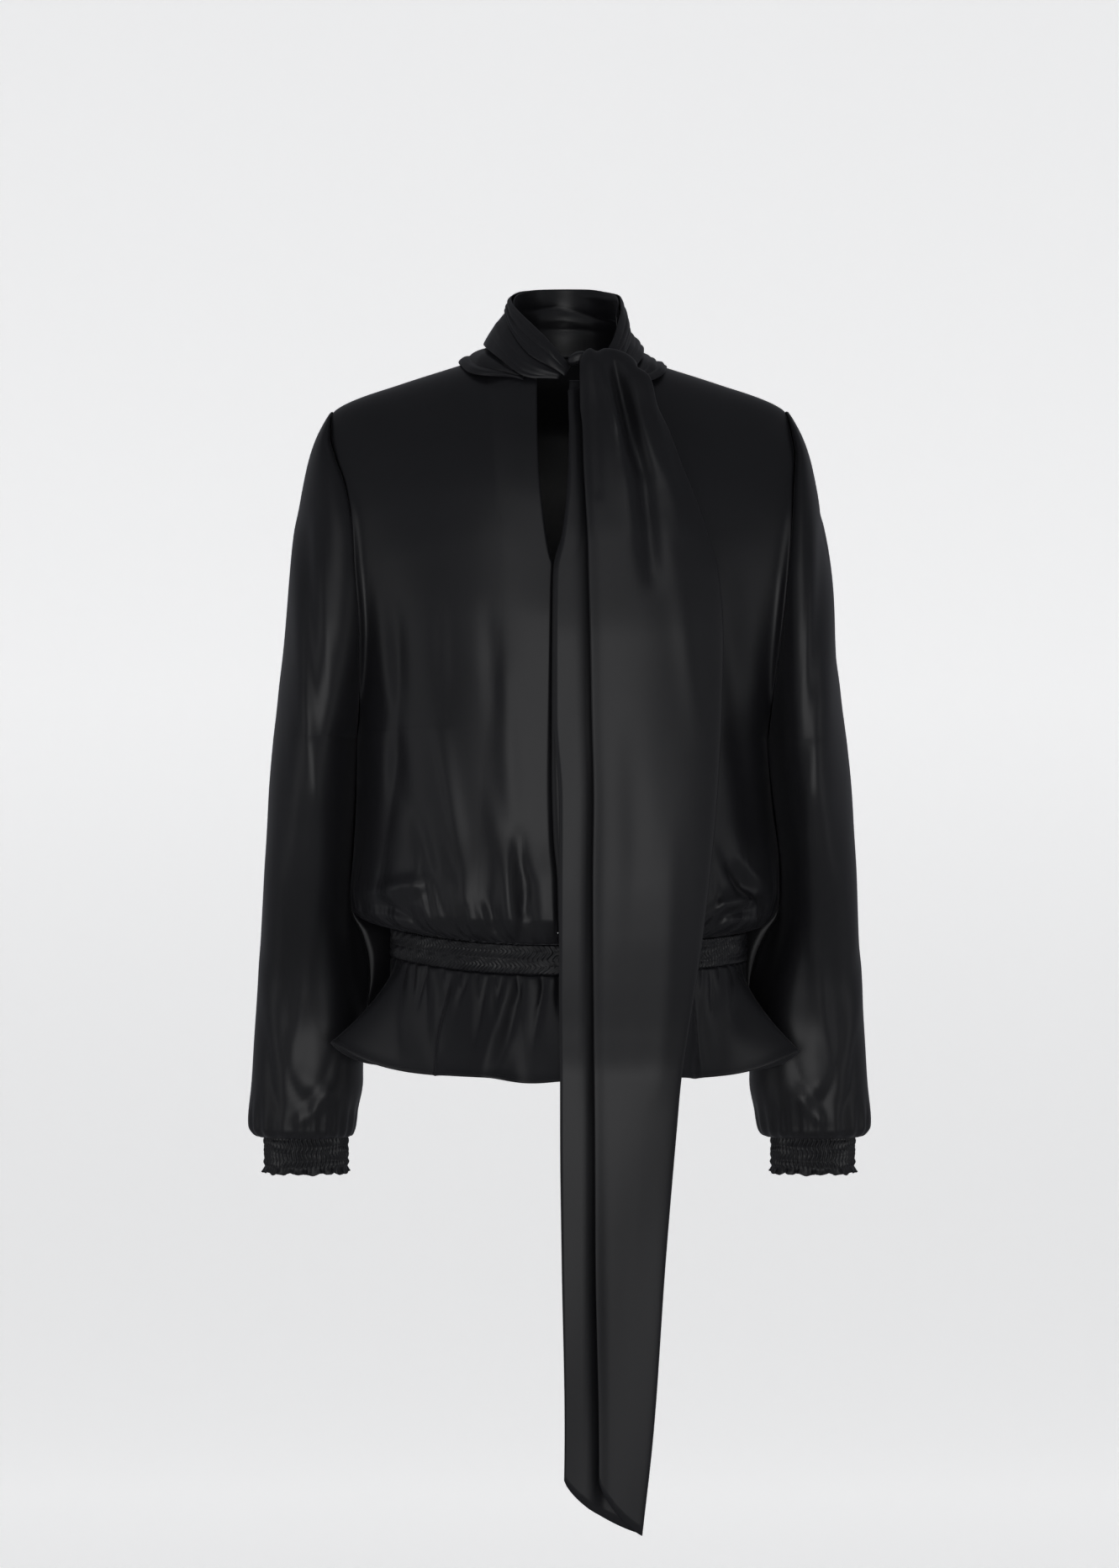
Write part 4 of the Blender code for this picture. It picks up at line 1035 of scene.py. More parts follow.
def cloth(name, point, across, down, about, slot, ring=False, relief=None, rolls=(0, 0, 0, 0)):
    """A thin cloth piece on a surface, with its edges turned in where they are sewn.

    about is a point (x, y) that the outside faces away from, relief a height over the surface at (u, v), and
    rolls how far the top, bottom, first and last edges turn in, in millimetres.
    """
    settings = bpy.context.scene.blouse
    u, v = np.meshgrid(np.asarray(across, float), np.asarray(down, float))
    outer = point(u, v)
    n = normals(point, u, v, ring)
    if np.sum(n[..., :2] * (outer[..., :2] - np.array(about))) < 0:
        n = -n
    along_row, down_column = arc_lengths(outer, ring)
    count = u.shape[1]
    out = np.zeros(u.shape) if relief is None else relief(u, v)
    reach = settings.cloth.roll_width / MM
    from_top = down_column[:, :count]
    from_first = along_row[:, :count] - along_row[:, :1]
    for depth, away in zip(
        rolls, (from_top, from_top[-1:] - from_top, from_first, from_first[:, -1:] - from_first)
    ):
        out = out - depth * np.clip(1 - away / reach, 0, 1) ** 2
    outer = outer + n * out[..., None]
    inner = outer - n * settings.cloth.thickness / MM
    rows = u.shape[0]
    size = rows * count
    points = np.concatenate([outer.reshape(-1, 3), inner.reshape(-1, 3)]) * MM
    front = grid_quads(count, rows, ring, 0)
    back = grid_quads(count, rows, ring, size)[:, ::-1]
    columns = count if ring else count - 1
    i = np.arange(columns)
    k = (i + 1) % count
    low = (rows - 1) * count
    edges = [
        np.stack([i, i + size, k + size, k], axis=-1),
        np.stack([low + i, low + k, low + k + size, low + i + size], axis=-1),
    ]
    if not ring:
        a = np.arange(rows - 1) * count
        b = a + count
        edges.append(np.stack([a, b, b + size, a + size], axis=-1))
        c, d = a + count - 1, b + count - 1
        edges.append(np.stack([c, c + size, d + size, d], axis=-1))
    quads = np.concatenate([front, back] + edges)
    rim = np.concatenate([np.zeros(len(front) + len(back), bool), np.ones(sum(map(len, edges)), bool)])
    mid = (rows // 2, count // 2)
    step_u = point(u[mid] + STEP, v[mid]) - point(u[mid], v[mid])
    step_v = point(u[mid], v[mid] + STEP) - point(u[mid], v[mid])
    flipped = float(np.dot(np.cross(step_u.ravel(), step_v.ravel()), n[mid])) < 0
    if flipped:
        quads = quads[:, ::-1]
    mesh = bpy.data.meshes.new(name)
    mesh.from_pydata(points.tolist(), [], quads.tolist())
    mesh.update()
    corner = np.empty(len(mesh.loops), np.int32)
    mesh.loops.foreach_get("vertex_index", corner)
    at = corner % size
    wide = along_row.shape[1]
    column_number = at % count
    if ring:
        first_corner = corner.reshape(-1, 4) % size % count
        wraps = (first_corner.max(axis=1) - first_corner.min(axis=1)) > count // 2
        column_number = np.where(np.repeat(wraps, 4) & (column_number == 0), count, column_number)
    flat_index = at // count * wide + column_number
    uv = np.stack([along_row.ravel()[flat_index], down_column.ravel()[flat_index]], axis=-1) * MM
    mesh.uv_layers.new(name="weave").data.foreach_set("uv", uv.ravel())
    mesh.shade_smooth()
    mesh.attributes.new("sharp_face", "BOOLEAN", "FACE")
    mesh.attributes["sharp_face"].data.foreach_set("value", rim)
    mesh.materials.append(satin_material(slot))
    return add_object(name, mesh)


def declare(piece, node):
    """The piece takes its node's place and rides on the one body."""
    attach(piece, "root")
    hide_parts(node)


# Materials
def node(tree, kind, at, **values):
    made = tree.nodes.new(kind)
    made.location = at
    for key, value in values.items():
        if key in made.inputs:
            made.inputs[key].default_value = value
        else:
            setattr(made, key, value)
    return made


def new_material(name, **values):
    """A material with its Principled shader's sockets set, words joined by _ where their names have spaces."""
    material = bpy.data.materials.new(name)
    material.use_nodes = True
    shader = material.node_tree.nodes["Principled BSDF"]
    for key, value in values.items():
        shader.inputs[key.replace("_", " ")].default_value = value
    return material, material.node_tree, shader


def satin_material(slot):
    """Silk satin: long floats across the cloth give a soft gloss with a fine grain, and a little unevenness."""
    name = "blouse_" + slot
    if name in bpy.data.materials:
        return bpy.data.materials[name]
    look = bpy.context.scene.blouse.satin
    material, tree, shader = new_material(
        name, Metallic=0.0, IOR=look.ior, Anisotropic=look.anisotropy, Sheen_Weight=look.sheen,
        Sheen_Roughness=0.4, Sheen_Tint=(0.75, 0.75, 0.82, 1),
    )
    place_at = node(tree, "ShaderNodeTexCoord", (-1100, 0))
    weave_uv = node(tree, "ShaderNodeUVMap", (-1100, -300), uv_map="weave")
    clouds = node(tree, "ShaderNodeTexNoise", (-800, 300), Scale=9.0, Detail=3.0)
    tree.links.new(place_at.outputs["Object"], clouds.inputs["Vector"])
    tint = node(tree, "ShaderNodeValToRGB", (-550, 300))
    dark = np.array(look.colour)
    tint.color_ramp.elements[0].position = 0.3
    tint.color_ramp.elements[0].color = (*(dark * 0.82), 1)
    tint.color_ramp.elements[1].position = 0.72
    tint.color_ramp.elements[1].color = (*(dark * 1.2), 1)
    tree.links.new(clouds.outputs["Fac"], tint.inputs["Fac"])
    tree.links.new(tint.outputs["Color"], shader.inputs["Base Color"])
    gloss = node(tree, "ShaderNodeMapRange", (-550, 60))
    gloss.inputs["To Min"].default_value = look.roughness - 0.03
    gloss.inputs["To Max"].default_value = look.roughness + 0.03
    tree.links.new(clouds.outputs["Fac"], gloss.inputs["Value"])
    tree.links.new(gloss.outputs["Result"], shader.inputs["Roughness"])
    floats = node(tree, "ShaderNodeMapping", (-850, -300))
    floats.inputs["Scale"].default_value = (2600, 900, 1)
    tree.links.new(weave_uv.outputs["UV"], floats.inputs["Vector"])
    grain = node(tree, "ShaderNodeTexNoise", (-600, -300), Scale=1.0, Detail=2.0)
    tree.links.new(floats.outputs["Vector"], grain.inputs["Vector"])
    bump = node(tree, "ShaderNodeBump", (-250, -300), Strength=look.grain, Distance=0.0002)
    tree.links.new(grain.outputs["Fac"], bump.inputs["Height"])
    tree.links.new(bump.outputs["Normal"], shader.inputs["Normal"])
    tangent = node(tree, "ShaderNodeTangent", (-250, -500), direction_type="UV_MAP", uv_map="weave")
    tree.links.new(tangent.outputs["Tangent"], shader.inputs["Tangent"])
    return material


def thread_material():
    """Spun sewing thread, a little duller than the satin."""
    name = "blouse_thread"
    if name in bpy.data.materials:
        return bpy.data.materials[name]
    material, tree, shader = new_material(
        name, Base_Color=(0.016, 0.016, 0.019, 1), Roughness=0.5, Sheen_Weight=0.2
    )
    place_at = node(tree, "ShaderNodeTexCoord", (-900, 0))
    twist = node(tree, "ShaderNodeTexWave", (-600, 0), Scale=900.0, Distortion=1.0, Detail=1.0)
    tree.links.new(place_at.outputs["Object"], twist.inputs["Vector"])
    bump = node(tree, "ShaderNodeBump", (-250, 0), Strength=0.4, Distance=0.0001)
    tree.links.new(twist.outputs["Fac"], bump.inputs["Height"])
    tree.links.new(bump.outputs["Normal"], shader.inputs["Normal"])
    return material


def pale_material(name, colour, glow):
    """A plain pale surface for the studio."""
    colour = (*colour, 1)
    made = new_material(name, Base_Color=colour, Roughness=0.9, Emission_Color=colour, Emission_Strength=glow)
    return made[0]


# Settings
def length_of(name, about, default, low, high):
    """A described length in metres."""
    return bpy.props.FloatProperty(
        name=name, description=about, default=default, min=low, max=high, unit="LENGTH"
    )


def count_of(name, about, default, low, high):
    """A described number of things."""
    return bpy.props.IntProperty(name=name, description=about, default=default, min=low, max=high)


def share_of(name, about, default, high=1.0):
    """A described share, from 0 up."""
    return bpy.props.FloatProperty(
        name=name, description=about, default=default, min=0.0, max=high, subtype="FACTOR"
    )


def power_of(name, about, default):
    """A described power of a light in watts."""
    return bpy.props.FloatProperty(
        name=name, description=about, default=default, min=0.0, max=500.0, unit="POWER"
    )


class BlouseCloth(bpy.types.PropertyGroup):
    thickness: length_of("Thickness", "Thickness of the cloth", 0.0006, 0.0002, 0.0013)
    roll_width: length_of("Seam roll", "How far from a seam the cloth starts to turn in", 0.003, 0.0005, 0.01)
    fold_depth: share_of("Fold depth", "Depth of the finer folds, as a share of the measured ones", 1.0, 1.5)


class BlouseSmocking(bpy.types.PropertyGroup):
    waist_ridges: count_of("Waist ridges", "Ridges of the smocking all round the waist", 232, 60, 300)
    waist_rows: count_of("Waist rows", "Rows of elastic stitching at the waist", 4, 1, 8)
    cuff_ridges: count_of("Cuff ridges", "Ridges of the smocking all round a cuff", 56, 20, 90)
    cuff_rows: count_of("Cuff rows", "Rows of elastic stitching on a cuff", 5, 1, 8)
    rise: length_of("Rise", "Height of a ridge between two rows", 0.0027, 0.0002, 0.004)


class BlouseStitches(bpy.types.PropertyGroup):
    pitch: length_of("Pitch", "Distance from a stitch to the next", 0.0026, 0.001, 0.01)
    length: length_of("Length", "Length of a stitch", 0.0019, 0.0005, 0.006)
    width: length_of("Thread", "Thickness of the thread", 0.00032, 0.0001, 0.001)
    seed: count_of("Seed", "Seed of the stitches' unevenness", 7, 0, 1000000)


class BlouseSatin(bpy.types.PropertyGroup):
    colour: bpy.props.FloatVectorProperty(
        name="Colour", description="Colour of the satin", default=(0.0105, 0.0105, 0.0125), size=3,
        subtype="COLOR", min=0.0, max=1.0,
    )
    roughness: share_of("Roughness", "Spread of the satin's gloss", 0.36)
    anisotropy: share_of("Anisotropy", "How far the gloss is drawn out across the threads", 0.35)
    sheen: share_of("Sheen", "Strength of the soft light at grazing angles", 0.06)
    ior: bpy.props.FloatProperty(
        name="IOR", description="Index of refraction of silk", default=1.55, min=1.0, max=2.0
    )
    grain: share_of("Grain", "Strength of the weave's fine grain", 0.25)


class BlouseStage(bpy.types.PropertyGroup):
    distance: length_of("Camera distance", "Distance of the camera from the shoulder line", 4.0, 1.0, 10.0)
    lens: bpy.props.FloatProperty(
        name="Lens", description="Focal length on a 36 mm high frame, in millimetres", default=102.95,
        min=20.0, max=200.0,
    )
    camera_height: length_of("Camera height", "Height of the camera against the shoulders", -0.375, -2.0, 1.0)
    floor: length_of("Floor", "Height of the floor against the shoulders of a wearer", -1.42, -2.0, -1.1)
    front_light: power_of("Front light", "Power of the large front light", 24.0)
    high_light: power_of("High light", "Power of the light over the camera", 7.0)
    side_light: power_of("Side lights", "Power of each side light", 3.0)


class BlouseSettings(bpy.types.PropertyGroup):
    cloth: bpy.props.PointerProperty(type=BlouseCloth, name="Cloth", description="Thickness and folds")
    smocking: bpy.props.PointerProperty(
        type=BlouseSmocking, name="Smocking", description="Smocked waist and cuffs"
    )
    stitches: bpy.props.PointerProperty(type=BlouseStitches, name="Stitches", description="Sewing thread")
    satin: bpy.props.PointerProperty(type=BlouseSatin, name="Satin", description="Look of the satin")
    stage: bpy.props.PointerProperty(type=BlouseStage, name="Stage", description="Camera, floor and lights")


def fine_body(u, v, side, face):
    """The body's surface with its finer folds and the tight gathers over the smocked waist."""
    share = bpy.context.scene.blouse.cloth.fold_depth
    base = body(u, v, side, face)
    before, after = np.clip(u - 2 * STEP, 0, 1), np.clip(u + 2 * STEP, 0, 1)
    around = np.abs(body(after, v, side, face) - body(before, v, side, face))
    if face == BACK:
        rows = BACK_CREASES
    else:
        rows = FRONT_RIGHT_CREASES if side == RIGHT else FRONT_LEFT_CREASES
    x, drop = base[..., 0], -base[..., 2]
    calm = (1 - u**SEAM_FADE) * (1 - (1 - np.clip(u, 0, 1)) ** SLIT_FADE * (face == FRONT))
    across = side * u * WAIST_QUARTER + WAIST_FACE_SHIFT * face
    gathered = waist_gathers(across, waist_drop(u, side, face) - drop)
    out = share * (creases(rows, x, drop) + gathered) * calm
    push_out(base, out, side * around[..., 1], face * around[..., 0])
    return base


# The share of a cuff's height that is smocked, with its frill below, and the forms of smocking, frill and hem.
CUFF_SMOCKED = 0.84
CUFF_ZIGZAG = 0.28
CUFF_RIDGE_POINTS = 9
FRILLS = (17, 28)
FRILL_OUT = 1.5
FRILL_DOWN = 0.9
WAIST_ZIGZAG = 0.85
WAIST_RIDGE_POINTS = 6
PEPLUM_GATHERS = 52
PEPLUM_GATHER_DEPTH = 1.9
PEPLUM_GATHER_RUN = 0.22
PEPLUM_COLUMNS = 600
HEM_FOLD = 0.958
HEM_STEP = 0.35


def ring_columns(count):
    """Even places all round, 4 to a turn."""
    return np.arange(count) * 4 / count


def smocking(rows, ridges, rise, zigzag):
    """A relief of fine ridges, pinched at each row of stitching and leaning to and fro between the rows."""

    def relief(a, v):
        between = v * rows
        puff = np.abs(np.sin(math.pi * between)) ** 0.6
        turn = np.arcsin(np.clip(np.sin(math.pi * (between + 0.5)), -1, 1)) / (math.pi / 2)
        wander = 0.35 * np.sin(a * 5.1 + 1.3) + 0.3 * np.sin(a * 13.7 + between)
        phase = a / 4 * ridges + zigzag * turn * (0.7 + wander) + 0.1 * np.sin(between * 2.1 + a * 9)
        ridge = 1 - np.abs(2 * (phase - np.floor(phase)) - 1) ** 2
        uneven = 0.72 + 0.28 * np.sin(a * 31.0 + between * 2.3) * np.sin(between * 1.9 + a * 57)
        return rise / MM * ridge * (0.62 + 0.38 * puff) * uneven

    return relief


class BLOUSE_OT_body(bpy.types.Operator):
    """Make the two fronts and the back, gathered over the smocked waist"""

    bl_idname = "blouse.make_body"
    bl_label = "Make Body"

    def execute(self, context):
        down = np.linspace(0, 1, 171) ** 0.96
        for side in (RIGHT, LEFT):
            word = side_word(side)
            piece = cloth(
                "front_" + word + "_cloth",
                lambda u, v, side=side: fine_body(u, v, side, FRONT),
                np.linspace(0, 1, 105),
                down,
                (0, 0),
                "satin",
                rolls=(0.5, 0.7, 0.3, 0.5),
            )
            declare(piece, "front_" + word)

        def back(u, v):
            right = fine_body(np.abs(u), v, RIGHT, BACK)
            left = fine_body(np.abs(u), v, LEFT, BACK)
            return np.where((u < 0)[..., None], right, left)

        piece = cloth(
            "back_cloth", back, np.linspace(-1, 1, 181), np.linspace(0, 1, 141), (0, 0), "satin",
            rolls=(0.5, 0.7, 0.5, 0.5),
        )
        declare(piece, "back")
        return {"FINISHED"}


class BLOUSE_OT_sleeves(bpy.types.Operator):
    """Make the two full sleeves, blousing over their cuffs"""

    bl_idname = "blouse.make_sleeves"
    bl_label = "Make Sleeves"

    def execute(self, context):
        share = context.scene.blouse.cloth.fold_depth

        def fine_sleeve(t, v, side):
            base = sleeve(t, v, side)
            tube_row = np.maximum(sleeve_row(v) - UNDERARM_ROW, 0)
            tuck = column(SLEEVE_TUBE, "tuck", tube_row)
            away_x = base[..., 0] - side * CUFF_X
            away_y = base[..., 1] - CUFF_Y * np.clip(v * 1.2, 0, 1)
            behind = np.clip(0.5 + base[..., 1] / SLEEVE_FOLD_BLEND, 0, 1)
            x = np.abs(base[..., 0]) - 0.5 * SLEEVE_FOLD_SHIFT[side]
            drop = -base[..., 2]
            fade = np.sin(math.pi * np.clip(t, 0, 1)) ** 0.7 * (1 - tuck)
            crease_x = x + SLEEVE_BACK_SHIFT[0] * behind
            out = share * creases(SLEEVE_CREASES, crease_x, drop + SLEEVE_CREASE_SHIFT * behind) * fade
            above = np.clip((OVER_CUFF_DROP - drop) / OVER_CUFF_RUN, 0, None)
            over_cuff = np.exp(-(above**1.5)) * (drop > OVER_CUFF_FROM) * (1 - 0.5 * tuck)
            angle = np.arctan2(away_y, side * away_x)
            out += over_cuff * np.cos(OVER_CUFF_GATHERS * angle + 2 * np.sin(3 * angle))
            inward = along(drop, SLEEVE_INWARD["drop"], SLEEVE_INWARD["reach"])
            lean = (np.degrees(angle) - SLEEVE_INWARD_ANGLE + 180) % 360 - 180
            base[..., 0] -= side * inward * np.exp(-((lean / SLEEVE_INWARD_SPREAD) ** 2))
            push_out(base, out, away_x, away_y)
            return base

        rows = np.arange(SLEEVE_ROWS + 1, dtype=float)
        rows[0] = SLEEVE_FIRST_ROW
        fine = [rows[:1]]
        for first, last, steps in zip(rows, rows[1:], SLEEVE_FINENESS):
            fine.append(np.linspace(first, last, steps + 1)[1:])
        down = (np.concatenate(fine) - SLEEVE_FIRST_ROW) / (SLEEVE_ROWS - SLEEVE_FIRST_ROW)

        for side in (RIGHT, LEFT):
            word = side_word(side)
            piece = cloth(
                "sleeve_" + word + "_cloth",
                lambda t, v, side=side: fine_sleeve(t, v, side),
                np.linspace(0, 1, 137),
                down,
                (side * CUFF_X, CUFF_Y),
                "satin",
                rolls=(0.5, 0, 0.5, 0.5),
            )
            declare(piece, "sleeve_" + word)
        return {"FINISHED"}


class BLOUSE_OT_cuffs(bpy.types.Operator):
    """Make the two smocked cuffs with their frilled edges"""

    bl_idname = "blouse.make_cuffs"
    bl_label = "Make Cuffs"

    def execute(self, context):
        look = context.scene.blouse.smocking

        def frilled(a, v, side):
            base = cuff(a, v, side)
            frill = np.clip((v - CUFF_SMOCKED) / (1 - CUFF_SMOCKED), 0, 1)
            angle = a * math.pi / 2
            wave = np.cos(angle * FRILLS[0] + 1.1 * np.sin(5 * a)) + 0.5 * np.cos(angle * FRILLS[1])
            push_out(base, frill**1.3 * FRILL_OUT * wave, side * np.sin(angle), -np.cos(angle))
            base[..., 2] += frill * (FRILL_DOWN * np.cos(angle * FRILLS[0] + 0.6) + 0.6 * np.sin(9.1 * a))
            return base

        relief = smocking(look.cuff_rows, look.cuff_ridges, look.rise, CUFF_ZIGZAG)

        def ridges(a, v):
            return relief(a, np.clip(v / CUFF_SMOCKED, 0, 1)) * (1 - 0.5 * (v > CUFF_SMOCKED))

        for side in (RIGHT, LEFT):
            word = side_word(side)
            piece = cloth(
                "cuff_" + word + "_cloth",
                lambda a, v, side=side: frilled(a, v, side),
                ring_columns(look.cuff_ridges * CUFF_RIDGE_POINTS),
                np.linspace(0, 1, 34),
                (side * CUFF_X, CUFF_Y),
                "smocking",
                ring=True,
                relief=ridges,
            )
            declare(piece, "cuff_" + word)
        return {"FINISHED"}


class BLOUSE_OT_waist(bpy.types.Operator):
    """Make the smocked waist and the fluted peplum below it"""

    bl_idname = "blouse.make_waist"
    bl_label = "Make Waist and Peplum"

    def execute(self, context):
        look = context.scene.blouse.smocking
        share = context.scene.blouse.cloth.fold_depth
        piece = cloth(
            "waistband_cloth",
            waistband,
            ring_columns(look.waist_ridges * WAIST_RIDGE_POINTS),
            np.linspace(0, 1, 25),
            (0, 0),
            "smocking",
            ring=True,
            relief=smocking(look.waist_rows, look.waist_ridges, look.rise, WAIST_ZIGZAG),
        )
        declare(piece, "waistband")

        def gathered(a, v):
            base = peplum(a, v)
            phase = a / 4 * math.pi * PEPLUM_GATHERS
            ripple = 2 * np.abs(np.sin(phase + 0.7 * np.sin(a * 6.1) + 0.4 * np.sin(a * 17))) ** 0.7 - 1.2
            run = PEPLUM_GATHER_RUN * (1 + 0.7 * np.sin(a * 11.3) * np.sin(a * 4.1 + 1))
            fade = np.exp(-((v / np.maximum(run, 0.05)) ** 1.5)) * np.clip(v / 0.02 + 0.35, 0, 1)
            away_x, away_y = base[..., 0] - PEPLUM_CENTRE_X, base[..., 1]
            turned = np.degrees(np.arctan2(away_x, -away_y)) * PEPLUM_MM_A_DEGREE
            short = PEPLUM_GATHER_DEPTH * ripple * fade
            out = share * (short + creases(PEPLUM_CREASES, turned, v * PEPLUM_LENGTH))
            push_out(base, out, away_x, away_y)
            return base

        piece = cloth(
            "peplum_cloth",
            gathered,
            ring_columns(PEPLUM_COLUMNS),
            np.concatenate([np.linspace(0, 0.3, 12)[:-1], np.linspace(0.3, 0.955, 10), [0.97, 0.985, 1.0]]),
            (0, 0),
            "satin",
            ring=True,
            relief=lambda a, v: HEM_STEP * np.clip((v - HEM_FOLD) / 0.01, 0, 1),
        )
        declare(piece, "peplum")
        return {"FINISHED"}


STAND_CREASES = table(
    CREASE_COLUMNS,
    (-35, -50.4, -2, -55.7, 16, -51.2, 3.0, 1.6, 1.0),
    (12, -52.4, 37, -43.5, 54, -38, 3.0, 2.2, 1.0),
    (-22, -35.5, 22, -35.2, 52, -30, 2.6, 1.5, 1.0),
    (18, -68, 38, -62, 56, -55, 3.0, -1.0, 1.5),
    (-20, -44, 5, -46, 24, -41, 4.0, -1.2, 2),
)
# Folds that run with a turn of the scarf: across is how far down its width, from its first to its last end.
SCARF_COLUMNS = "from_u to_u from_v to_v width depth sharp"
SCARF_FOLDS = {
    "wrap_upper": table(
        SCARF_COLUMNS,
        (0.02, 0.45, 0.55, 0.35, 0.07, -1.6, 1.2),
        (0.05, 0.40, 0.30, 0.20, 0.10, 0.8, 2),
        (0.10, 0.50, 0.80, 0.66, 0.07, -0.9, 1.4),
        (0.40, 0.75, 0.40, 0.60, 0.07, -1.1, 1.4),
        (0.62, 0.98, 0.30, 0.42, 0.05, -1.4, 1.2),
        (0.66, 0.99, 0.58, 0.66, 0.05, -1.2, 1.2),
        (0.55, 0.90, 0.82, 0.80, 0.06, -0.8, 1.4),
    ),
    "wrap_lower": table(
        SCARF_COLUMNS,
        (0.0, 0.40, 0.50, 0.40, 0.09, 0.9, 2),
        (0.04, 0.36, 0.82, 0.70, 0.06, -1.0, 1.3),
        (0.34, 0.70, 0.30, 0.52, 0.07, -1.2, 1.3),
        (0.62, 0.98, 0.40, 0.50, 0.06, -1.5, 1.2),
        (0.60, 0.95, 0.75, 0.72, 0.06, -1.0, 1.4),
    ),
    "drape": table(
        SCARF_COLUMNS,
        (0.02, 0.34, 0.52, 0.46, 0.09, -3.2, 1.3),
        (0.04, 0.30, 0.25, 0.20, 0.10, 0.8, 2),
        (0.02, 0.30, 0.80, 0.76, 0.09, 0.9, 2),
        (0.32, 0.66, 0.46, 0.40, 0.08, -1.8, 1.3),
        (0.64, 0.97, 0.42, 0.50, 0.08, -3.0, 1.3),
        (0.70, 0.98, 0.22, 0.30, 0.06, -1.2, 1.4),
        (0.60, 0.90, 0.74, 0.76, 0.08, -1.0, 1.6),
    ),
}


def scarf_relief(rows):
    """Folds that run along a turn of the scarf, from a table."""

    def relief(u, v):
        total = np.zeros(u.shape)
        for from_u, to_u, from_v, to_v, width, depth, sharp in zip(*rows.values()):
            on = np.clip((u - from_u) / (to_u - from_u), 0, 1)
            middle = from_v + (to_v - from_v) * on + 0.03 * np.sin(9 * on + 5 * from_v)
            total += depth * np.sin(math.pi * on) ** 0.5 * np.exp(-((np.abs(v - middle) / width) ** sharp))
        return total * calm_ends(v, 0.06)

    return relief


class BLOUSE_OT_collar(bpy.types.Operator):
    """Make the collar stand and the turns of the scarf round the neck"""

    bl_idname = "blouse.make_collar"
    bl_label = "Make Collar"

    def execute(self, context):
        def stand_relief(u, v):
            at = strip(STAND, u, v)
            return creases(STAND_CREASES, at[..., 0], -at[..., 2]) * calm_ends(v, 0.05)

        piece = cloth(
            "collar_stand_cloth",
            lambda u, v: strip(STAND, u, v),
            np.linspace(0, 1, 121),
            np.linspace(0, 1, 41),
            (NECK_X, 0),
            "satin",
            relief=stand_relief,
            rolls=(0.3, 0.5, 0, 0),
        )
        declare(piece, "collar_stand")
        for name, rows, flat in (
            ("wrap_upper", WRAP_UPPER, (0.34, 0.034)),
            ("wrap_lower", WRAP_LOWER, (0.39, 0.034)),
            ("drape", DRAPE, (0.42, 0.036)),
        ):
            piece = cloth(
                name + "_cloth",
                lambda u, v, rows=rows: strip(rows, u, v),
                np.linspace(0, 1, 151),
                np.linspace(0, 1, 45),
                (NECK_X, 0),
                "satin",
                relief=scarf_relief(SCARF_FOLDS[name]),
                rolls=(0.5, 0.6, 0.4, 0.4),
            )
            declare(piece, name)
        return {"FINISHED"}


class BLOUSE_OT_sash(bpy.types.Operator):
    """Make the knot and the long end of the scarf, folded in half down its length"""

    bl_idname = "blouse.make_sash"
    bl_label = "Make Knot and Scarf End"

    def execute(self, context):
        share = context.scene.blouse.cloth.fold_depth
        knot = add_object("knot_cloth", knot_mesh())
        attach(knot, "root")
        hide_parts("knot")

        def fine_sash(s, v):
            base = sash_with_roll(s, v)
            in_front = s > SASH_FOLD_AT
            turn = np.where(in_front, (1 - s) / (1 - SASH_FOLD_AT), s / SASH_FOLD_AT)
            x, drop = base[..., 0], -base[..., 2]
            out = creases(SASH_CREASES, x, drop) * (0.2 + 0.8 * in_front) * (1 - turn**10)
            ripple = 0.7 * np.sin(drop / 61.0 + x / 17.0) * np.clip((drop - 250) / 100, 0, 1)
            edge = np.interp(drop, SASH["drop"], SASH["front"])
            recess = (1 - in_front) * SASH_RECESS * smooth(np.clip((x - edge + 8) / SASH_RECESS_RUN, 0, 1))
            lift = in_front * SASH_LIFT * np.exp(-(((x - edge) / SASH_LIFT_RUN) ** 2))
            base[..., 1] -= share * (out + ripple) + lift - recess
            top = np.exp(-(((v + 0.02) / 0.05) ** 2))
            left = np.clip((x - SASH_TOP_LEFT) / 26, 0, 1) ** 2
            right = np.clip((SASH_TOP_RIGHT - x) / 9.5, 0, 1) ** 1.5
            notch = 3.0 * np.exp(-(((x - SASH_NOTCH) / 4) ** 2))
            base[..., 2] -= top * (SASH_TOP_FALL * (left + right) + notch)
            return base

        rows = len(SASH["drop"]) - 1
        rolled = np.linspace(-SASH_ROLL, 0, 14)[:-1]
        down = np.concatenate([rolled, np.linspace(0, rows, rows * 10 + 1) / rows])
        behind = np.linspace(0, SASH_FOLD_AT, 22)
        before = np.linspace(SASH_FOLD_AT, 1, 40)[1:]
        piece = cloth("sash_cloth", fine_sash, np.concatenate([behind, before]), down, (75, -140), "satin")
        declare(piece, "sash")
        return {"FINISHED"}


